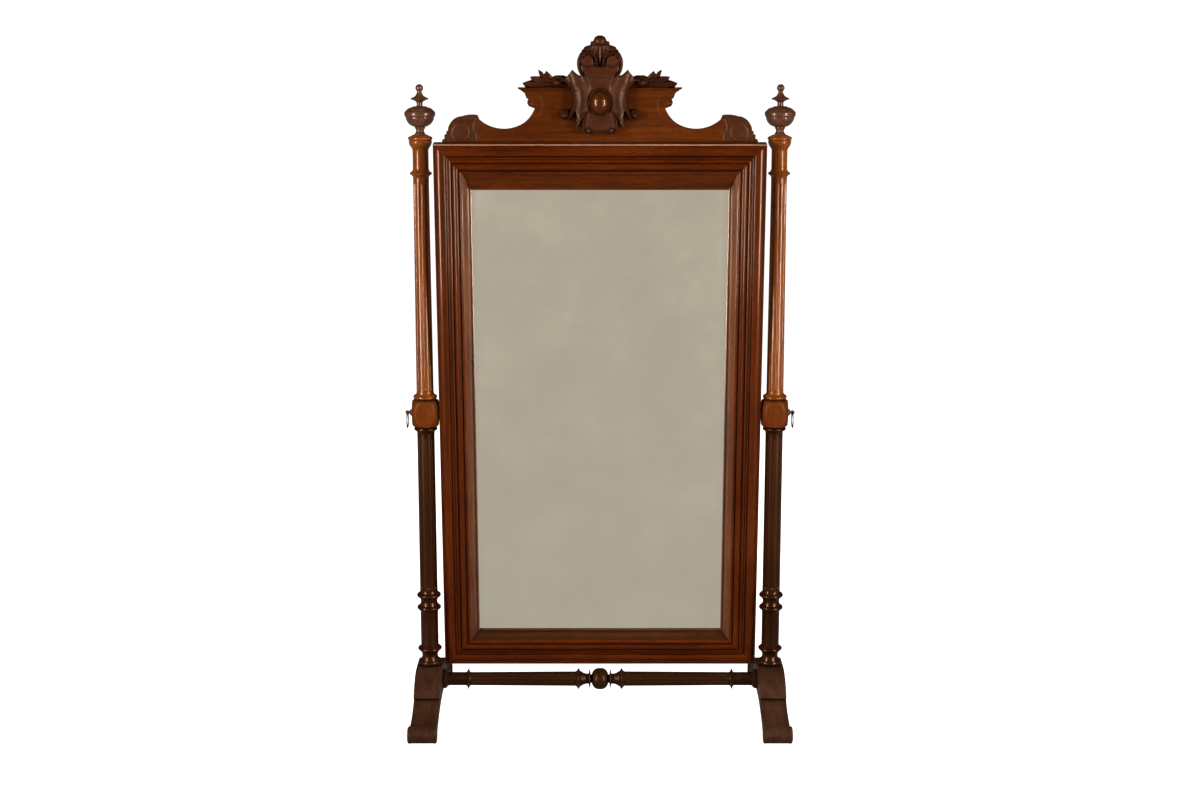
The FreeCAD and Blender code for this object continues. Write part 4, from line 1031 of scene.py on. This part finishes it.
def cartouche():
    surface = relief("carved_cartouche", [tuple(map(float, p)) for p in half_cartouche]
                     + [(-float(x), float(h)) for x, h in reversed(half_cartouche[:-1])][:-1],
                     cartouche_surface, BOARD_FRONT - 1.0, 1.5, carved_walnut)
    bm = bmesh.new()
    bm.from_mesh(surface.data)
    for sign in (1.0, -1.0):
        head = smooth_path([(50.0, 188.0), (57.0, 202.0), (60.0, 217.0), (59.0, 233.0), (52.0, 246.0), (41.0, 252.5),
                            (28.0, 252.5), (17.0, 245.0), (11.0, 234.0), (7.0, 221.0), (2.6, 208.0)], 9)
        strap(bm, head, lambda t: 2.5 + 6.5 * math.sin(math.pi * min(1.0, 0.12 + t)) ** 0.7, 6.0,
              lambda t: 11.0 + 8.0 * math.sin(math.pi * t) ** 0.6, sign, round_by=0.5)
        foot_roll = smooth_path([(36.0, 88.0), (44.0, 73.0), (47.5, 58.0), (47.0, 44.0), (41.0, 32.0), (33.0, 28.5)], 8)
        strap(bm, foot_roll, lambda t: 2.5 + 4.0 * math.sin(math.pi * t) ** 0.7, 8.0,
              lambda t: 15.0 - 1.5 * math.cos(2.0 * math.pi * t), sign)
        dome(bm, 32.5, 37.5, 9.0, 13.0, 13.0, sign)
        collar = smooth_path([(26.0, 270.0), (36.0, 267.0), (45.0, 260.5), (50.5, 256.5)], 6)
        strap(bm, collar, lambda t: 5.0 - 2.0 * t, 6.0, lambda t: 7.0, sign)
    strap(bm, [(-25.0, 34.5), (-12.0, 33.2), (0.0, 33.0), (12.0, 33.2), (25.0, 34.5)], lambda t: 5.5, 10.0,
          lambda t: 12.0)
    keel = smooth_path([(0.0, 268.0), (0.0, 252.0), (0.0, 236.0), (0.0, 222.0), (0.0, 209.0)], 6)
    strap(bm, keel, lambda t: 15.0 - 11.5 * t ** 0.8, 7.0, lambda t: 9.0 - 2.0 * t, round_by=0.9)
    bm.to_mesh(surface.data)
    bm.free()
    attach(surface, "mirror")
    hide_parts("cartouche")


cartouche()

egg_walnut = walnut("hard-polished walnut egg", ("#331707", "#4a230a", "#5e3010"), along="Z", lean=REST_TILT,
                    gloss=0.12, coat=0.16)


def egg():
    """The egg-shaped boss: a half egg, polished brighter than the carving, on a low turned rim."""
    bm = bmesh.new()
    rows = []
    section = [(29.0, 35.5, 19.0), (29.0, 35.5, 20.4), (28.4, 34.9, 21.2), (27.8, 34.0, 20.6), (27.3, 33.2, 19.8)]
    for i in range(1, 16):
        a = math.pi / 2.0 * i / 16.0
        section.append((26.9 * math.cos(a), 32.6 * math.cos(a), 19.8 + 23.2 * math.sin(a)))
    for across, upward, n in section:
        rows.append([bm.verts.new(crest_point(across * math.cos(b), 115.0 + upward * math.sin(b), n))
                     for b in [2.0 * math.pi * k / 64.0 for k in range(64)]])
    for a, b in zip(rows, rows[1:]):
        for k in range(64):
            bm.faces.new((a[k], a[(k + 1) % 64], b[(k + 1) % 64], b[k]))
    crown = bm.verts.new(crest_point(0.0, 115.0, 43.0))
    for k in range(64):
        bm.faces.new((rows[-1][k], rows[-1][(k + 1) % 64], crown))
    bm.faces.new(rows[0])
    piece = finished("polished_egg", bm, [egg_walnut], sharp=50.0)
    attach(piece, "mirror")
    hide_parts("cabochon")


egg()

# ---------------------------------------------------------------- pivots
# The mirror hangs on two ring-headed iron screws.  Each runs in a flanged iron bush through the block,
# past a leather washer, into an iron plate let into the stile.  The iron is blackened and rubbed bright.


def finish(name, colours, scale, metallic, rough, bump=0.2, stretch=(1.0, 1.0, 1.0)):
    """Worked metal, leather or plain wood: two tones in patches or streaks, with roughness and bump to match."""
    made = bpy.data.materials.new(name)
    made.use_nodes = True
    tree = made.node_tree
    shader = tree.nodes["Principled BSDF"]
    place = add_node(tree, "ShaderNodeTexCoord")
    run = add_node(tree, "ShaderNodeMapping", {0: place.outputs["Object"], "Scale": stretch})
    patches = add_node(tree, "ShaderNodeTexNoise", {"Vector": run.outputs[0], "Scale": scale, "Detail": 5.0,
                                                    "Roughness": 0.6})
    tone = ramp(tree, patches.outputs[0], [(0.35, colours[0]), (0.65, colours[1])])
    tree.links.new(tone.outputs[0], shader.inputs["Base Color"])
    dull = add_node(tree, "ShaderNodeMapRange", {0: patches.outputs[0], 1: 0.3, 2: 0.7, 3: rough + 0.12, 4: rough})
    tree.links.new(dull.outputs[0], shader.inputs["Roughness"])
    bumps = add_node(tree, "ShaderNodeBump", {"Height": patches.outputs[0], "Strength": bump, "Distance": 0.0006})
    tree.links.new(bumps.outputs[0], shader.inputs["Normal"])
    shader.inputs["Metallic"].default_value = metallic
    return made


def dress(material, *nodes):
    """Give carried-over nodes their finish."""
    for name in nodes:
        data = frame["nodes"][name].data
        data.materials.clear()
        data.materials.append(material)


black_iron = finish("blackened wrought iron, rubbed", ("#2a2724", "#57514a"), 260.0, 1.0, 0.34)
harness_leather = finish("oiled harness leather", ("#24140b", "#3c2415"), 420.0, 0.0, 0.55, 0.5)
for side in ("left", "right"):
    dress(black_iron, side + "_pivot_bush", side + "_pivot_screw", side + "_pivot_plate")
    dress(harness_leather, side + "_pivot_washer")


def pull_ring(side):
    """Wire ring, forged and welded: a little thicker at its foot, where the weld is."""
    low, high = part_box(side + "_pull_ring")
    middle = (low + high) / 2.0
    outer = (high.z - low.z) / 2.0
    wire = (high.x - low.x) / 2.0
    turns, around = 72, 16
    bm = bmesh.new()
    rings = []
    for i in range(turns):
        a = 2.0 * math.pi * i / turns
        thick = wire * (0.94 + 0.06 * math.cos(a - math.pi) ** 6)
        centre = outer - wire
        ring = []
        for k in range(around):
            b = 2.0 * math.pi * k / around
            r = centre + thick * math.cos(b)
            ring.append(bm.verts.new((middle.x + thick * math.sin(b), middle.y + r * math.sin(a), middle.z + r * math.cos(a))))
        rings.append(ring)
    for a, b in zip(rings, rings[1:] + rings[:1]):
        for k in range(around):
            m = (k + 1) % around
            bm.faces.new((a[k], a[m], b[m], b[k]))
    piece = finished(side + "_wire_ring", bm, [black_iron], sharp=60.0, merge=0.0000005)
    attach(piece, side + "_ring")
    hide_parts(side + "_pull_ring")


for side in ("left", "right"):
    pull_ring(side)

# ---------------------------------------------------------------- back and hidden woodwork
# The back is closed by two plain boards that meet under a batten, left in bare, browned pine.  Cleats
# behind the crest, glass blocks, keys, pegs and bolts are the joiner's and stay as he left them.

bare_pine = finish("bare pine, browned with age", ("#5e4022", "#8a6238"), 110.0, 0.0, 0.62, 0.35, (1.0, 1.0, 0.035))
oak_fixings = finish("split oak, unpolished", ("#5a3d22", "#7d5a35"), 60.0, 0.0, 0.6, 0.3, (0.08, 1.0, 1.0))
dress(bare_pine, "back_batten", "glass_blocks")
dress(oak_fixings, "crest_cleats", "mitre_keys", "stretcher_pegs")
dress(black_iron, "post_bolts", "plate_screws")


def back_board(half):
    """One back board: six narrow planks glued side by side, each with a small chamfer along its joints."""
    low_u, high_u = (FRAME_BOTTOM + 40.0, middle_u) if half == "lower" else (middle_u, FRAME_TOP - 40.0)
    reach = HALF_WIDTH - 40.0
    planks = 6
    width = 2.0 * reach / planks
    bm = bmesh.new()
    for i in range(planks):
        x0 = -reach + i * width
        section = [(x0, FRAME_BACK + 10.0), (x0, FRAME_BACK + 1.6), (x0 + 1.6, FRAME_BACK), (x0 + width - 1.6, FRAME_BACK),
                   (x0 + width, FRAME_BACK + 1.6), (x0 + width, FRAME_BACK + 10.0)]
        ends = [[bm.verts.new(hung(x, n, u)) for x, n in section] for u in (low_u + 0.4, high_u - 0.4)]
        count = len(section)
        for k in range(count):
            m = (k + 1) % count
            bm.faces.new((ends[0][k], ends[0][m], ends[1][m], ends[1][k]))
        bm.faces.new(ends[0])
        bm.faces.new(list(reversed(ends[1])))
    bmesh.ops.recalc_face_normals(bm, faces=bm.faces)
    piece = finished(half + "_plank_board", bm, [bare_pine], sharp=20.0, merge=0.0)
    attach(piece, "mirror")
    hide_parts(half + "_back_board")


middle_u = (FRAME_TOP + FRAME_BOTTOM) / 2.0
for half in ("upper", "lower"):
    back_board(half)


def screw_tree():
    """Geometry nodes: one slotted screw on each point, its slot stopped at a different angle each time."""
    tree = bpy.data.node_groups.new("slotted screws", "GeometryNodeTree")
    tree.interface.new_socket("Geometry", in_out="INPUT", socket_type="NodeSocketGeometry")
    screw = tree.interface.new_socket("Screw", in_out="INPUT", socket_type="NodeSocketObject")
    lean = tree.interface.new_socket("Lean", in_out="INPUT", socket_type="NodeSocketFloat")
    steel = tree.interface.new_socket("Finish", in_out="INPUT", socket_type="NodeSocketMaterial")
    tree.interface.new_socket("Geometry", in_out="OUTPUT", socket_type="NodeSocketGeometry")
    given = add_node(tree, "NodeGroupInput")
    model = add_node(tree, "GeometryNodeObjectInfo", {"Object": given.outputs["Screw"]})
    facing = add_node(tree, "ShaderNodeCombineXYZ", {"X": given.outputs["Lean"]})
    set_in = add_node(tree, "GeometryNodeInstanceOnPoints", {"Points": given.outputs["Geometry"],
                                                             "Instance": model.outputs["Geometry"],
                                                             "Rotation": facing.outputs[0]})
    spin = add_node(tree, "FunctionNodeRandomValue", {"Max": 3.14, "Seed": 7}, data_type="FLOAT")
    spin.inputs[3].default_value = 3.14
    turn = add_node(tree, "ShaderNodeCombineXYZ", {"Z": spin.outputs[1]})
    turned_in = add_node(tree, "GeometryNodeRotateInstances", {"Instances": set_in.outputs[0],
                                                               "Rotation": turn.outputs[0], "Local Space": True})
    solid = add_node(tree, "GeometryNodeRealizeInstances", {0: turned_in.outputs[0]})
    dressed = add_node(tree, "GeometryNodeSetMaterial", {"Geometry": solid.outputs[0],
                                                         "Material": given.outputs["Finish"]})
    add_node(tree, "NodeGroupOutput", {0: dressed.outputs[0]})
    return tree, {"Screw": screw.identifier, "Lean": lean.identifier, "Finish": steel.identifier}


def slotted_screw():
    """Countersunk screw, its head's flat at the origin and facing +Z, with a sawn slot."""
    bm = bmesh.new()
    across = 16
    rings = []
    for r, z in [(4.0, 0.0), (3.9, -0.3), (1.9, -2.2), (1.9, -20.0), (0.3, -23.5)]:
        rings.append([bm.verts.new((r * MM * math.cos(2 * math.pi * k / across), r * MM * math.sin(2 * math.pi * k / across),
                                    z * MM)) for k in range(across)])
    for a, b in zip(rings, rings[1:]):
        for k in range(across):
            m = (k + 1) % across
            bm.faces.new((a[k], b[k], b[m], a[m]))
    bm.faces.new(list(reversed(rings[-1])))
    slot_rows = []
    for depth in (0.0, -0.9):
        slot_rows.append([bm.verts.new((x * MM, y * MM, depth * MM)) for x, y in
                          [(-3.6, -0.55), (3.6, -0.55), (3.6, 0.55), (-3.6, 0.55)]])
    rim, floor = slot_rows
    for k in range(4):
        m = (k + 1) % 4
        bm.faces.new((rim[k], rim[m], floor[m], floor[k]))
    bm.faces.new(floor)
    top = rings[0]
    quarter = across // 4
    for k in range(4):
        corner = rim[(k + 2) % 4]
        span = [top[(i + quarter * k) % across] for i in range(quarter + 1)]
        for a, b in zip(span, span[1:]):
            bm.faces.new((a, b, corner))
        bm.faces.new((span[-1], rim[(k + 3) % 4], corner))
    return finished("slotted_screw", bm, [black_iron], sharp=30.0, merge=0.0000001)


def screw_set(name, places, node):
    """Screws in the frame's back at (across, up) places, their heads flush at a depth behind the axis."""
    mesh = bpy.data.meshes.new(name)
    mesh.from_pydata([hung(x, n, u) for x, n, u in places], [], [])
    piece = bpy.data.objects.new(name, mesh)
    studio.collection.objects.link(piece)
    tree, sockets = screw_tree()
    model = slotted_screw()
    modifier = piece.modifiers.new("screws", "NODES")
    modifier.node_group = tree
    modifier[sockets["Screw"]] = model
    modifier[sockets["Lean"]] = math.radians(-90.0) + REST_TILT
    modifier[sockets["Finish"]] = black_iron
    applied(piece)
    bpy.data.objects.remove(model)
    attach(piece, "mirror")
    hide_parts(node)


edge_w, board_w = 52.0, 40.0
screw_u = [FRAME_BOTTOM + edge_w + (FRAME_TOP - FRAME_BOTTOM - 2 * edge_w) * share
           for share in (0.04, 0.27, 0.46, 0.54, 0.73, 0.96)]
back_places = [(sign * (HALF_WIDTH - edge_w), FRAME_BACK - 0.2, u) for u in screw_u for sign in (1.0, -1.0)]
back_places += [(x, FRAME_BACK - 0.2, u) for x in (-(HALF_WIDTH - edge_w) / 2.0, 0.0, (HALF_WIDTH - edge_w) / 2.0)
                for u in (FRAME_BOTTOM + edge_w, FRAME_TOP - edge_w)]
back_places += [(share * (HALF_WIDTH - board_w), FRAME_BACK - 0.2, middle_u + step)
                for share in (-0.6, 0.0, 0.6) for step in (-15.0, 15.0)]
screw_set("back_screw_set", back_places, "back_screws")
screw_set("cleat_screw_set", [(x, FRAME_BACK - 16.2, u) for x in (-368.0, 0.0, 368.0)
                              for u in (FRAME_TOP - 22.0, FRAME_TOP + 26.0)], "cleat_screws")
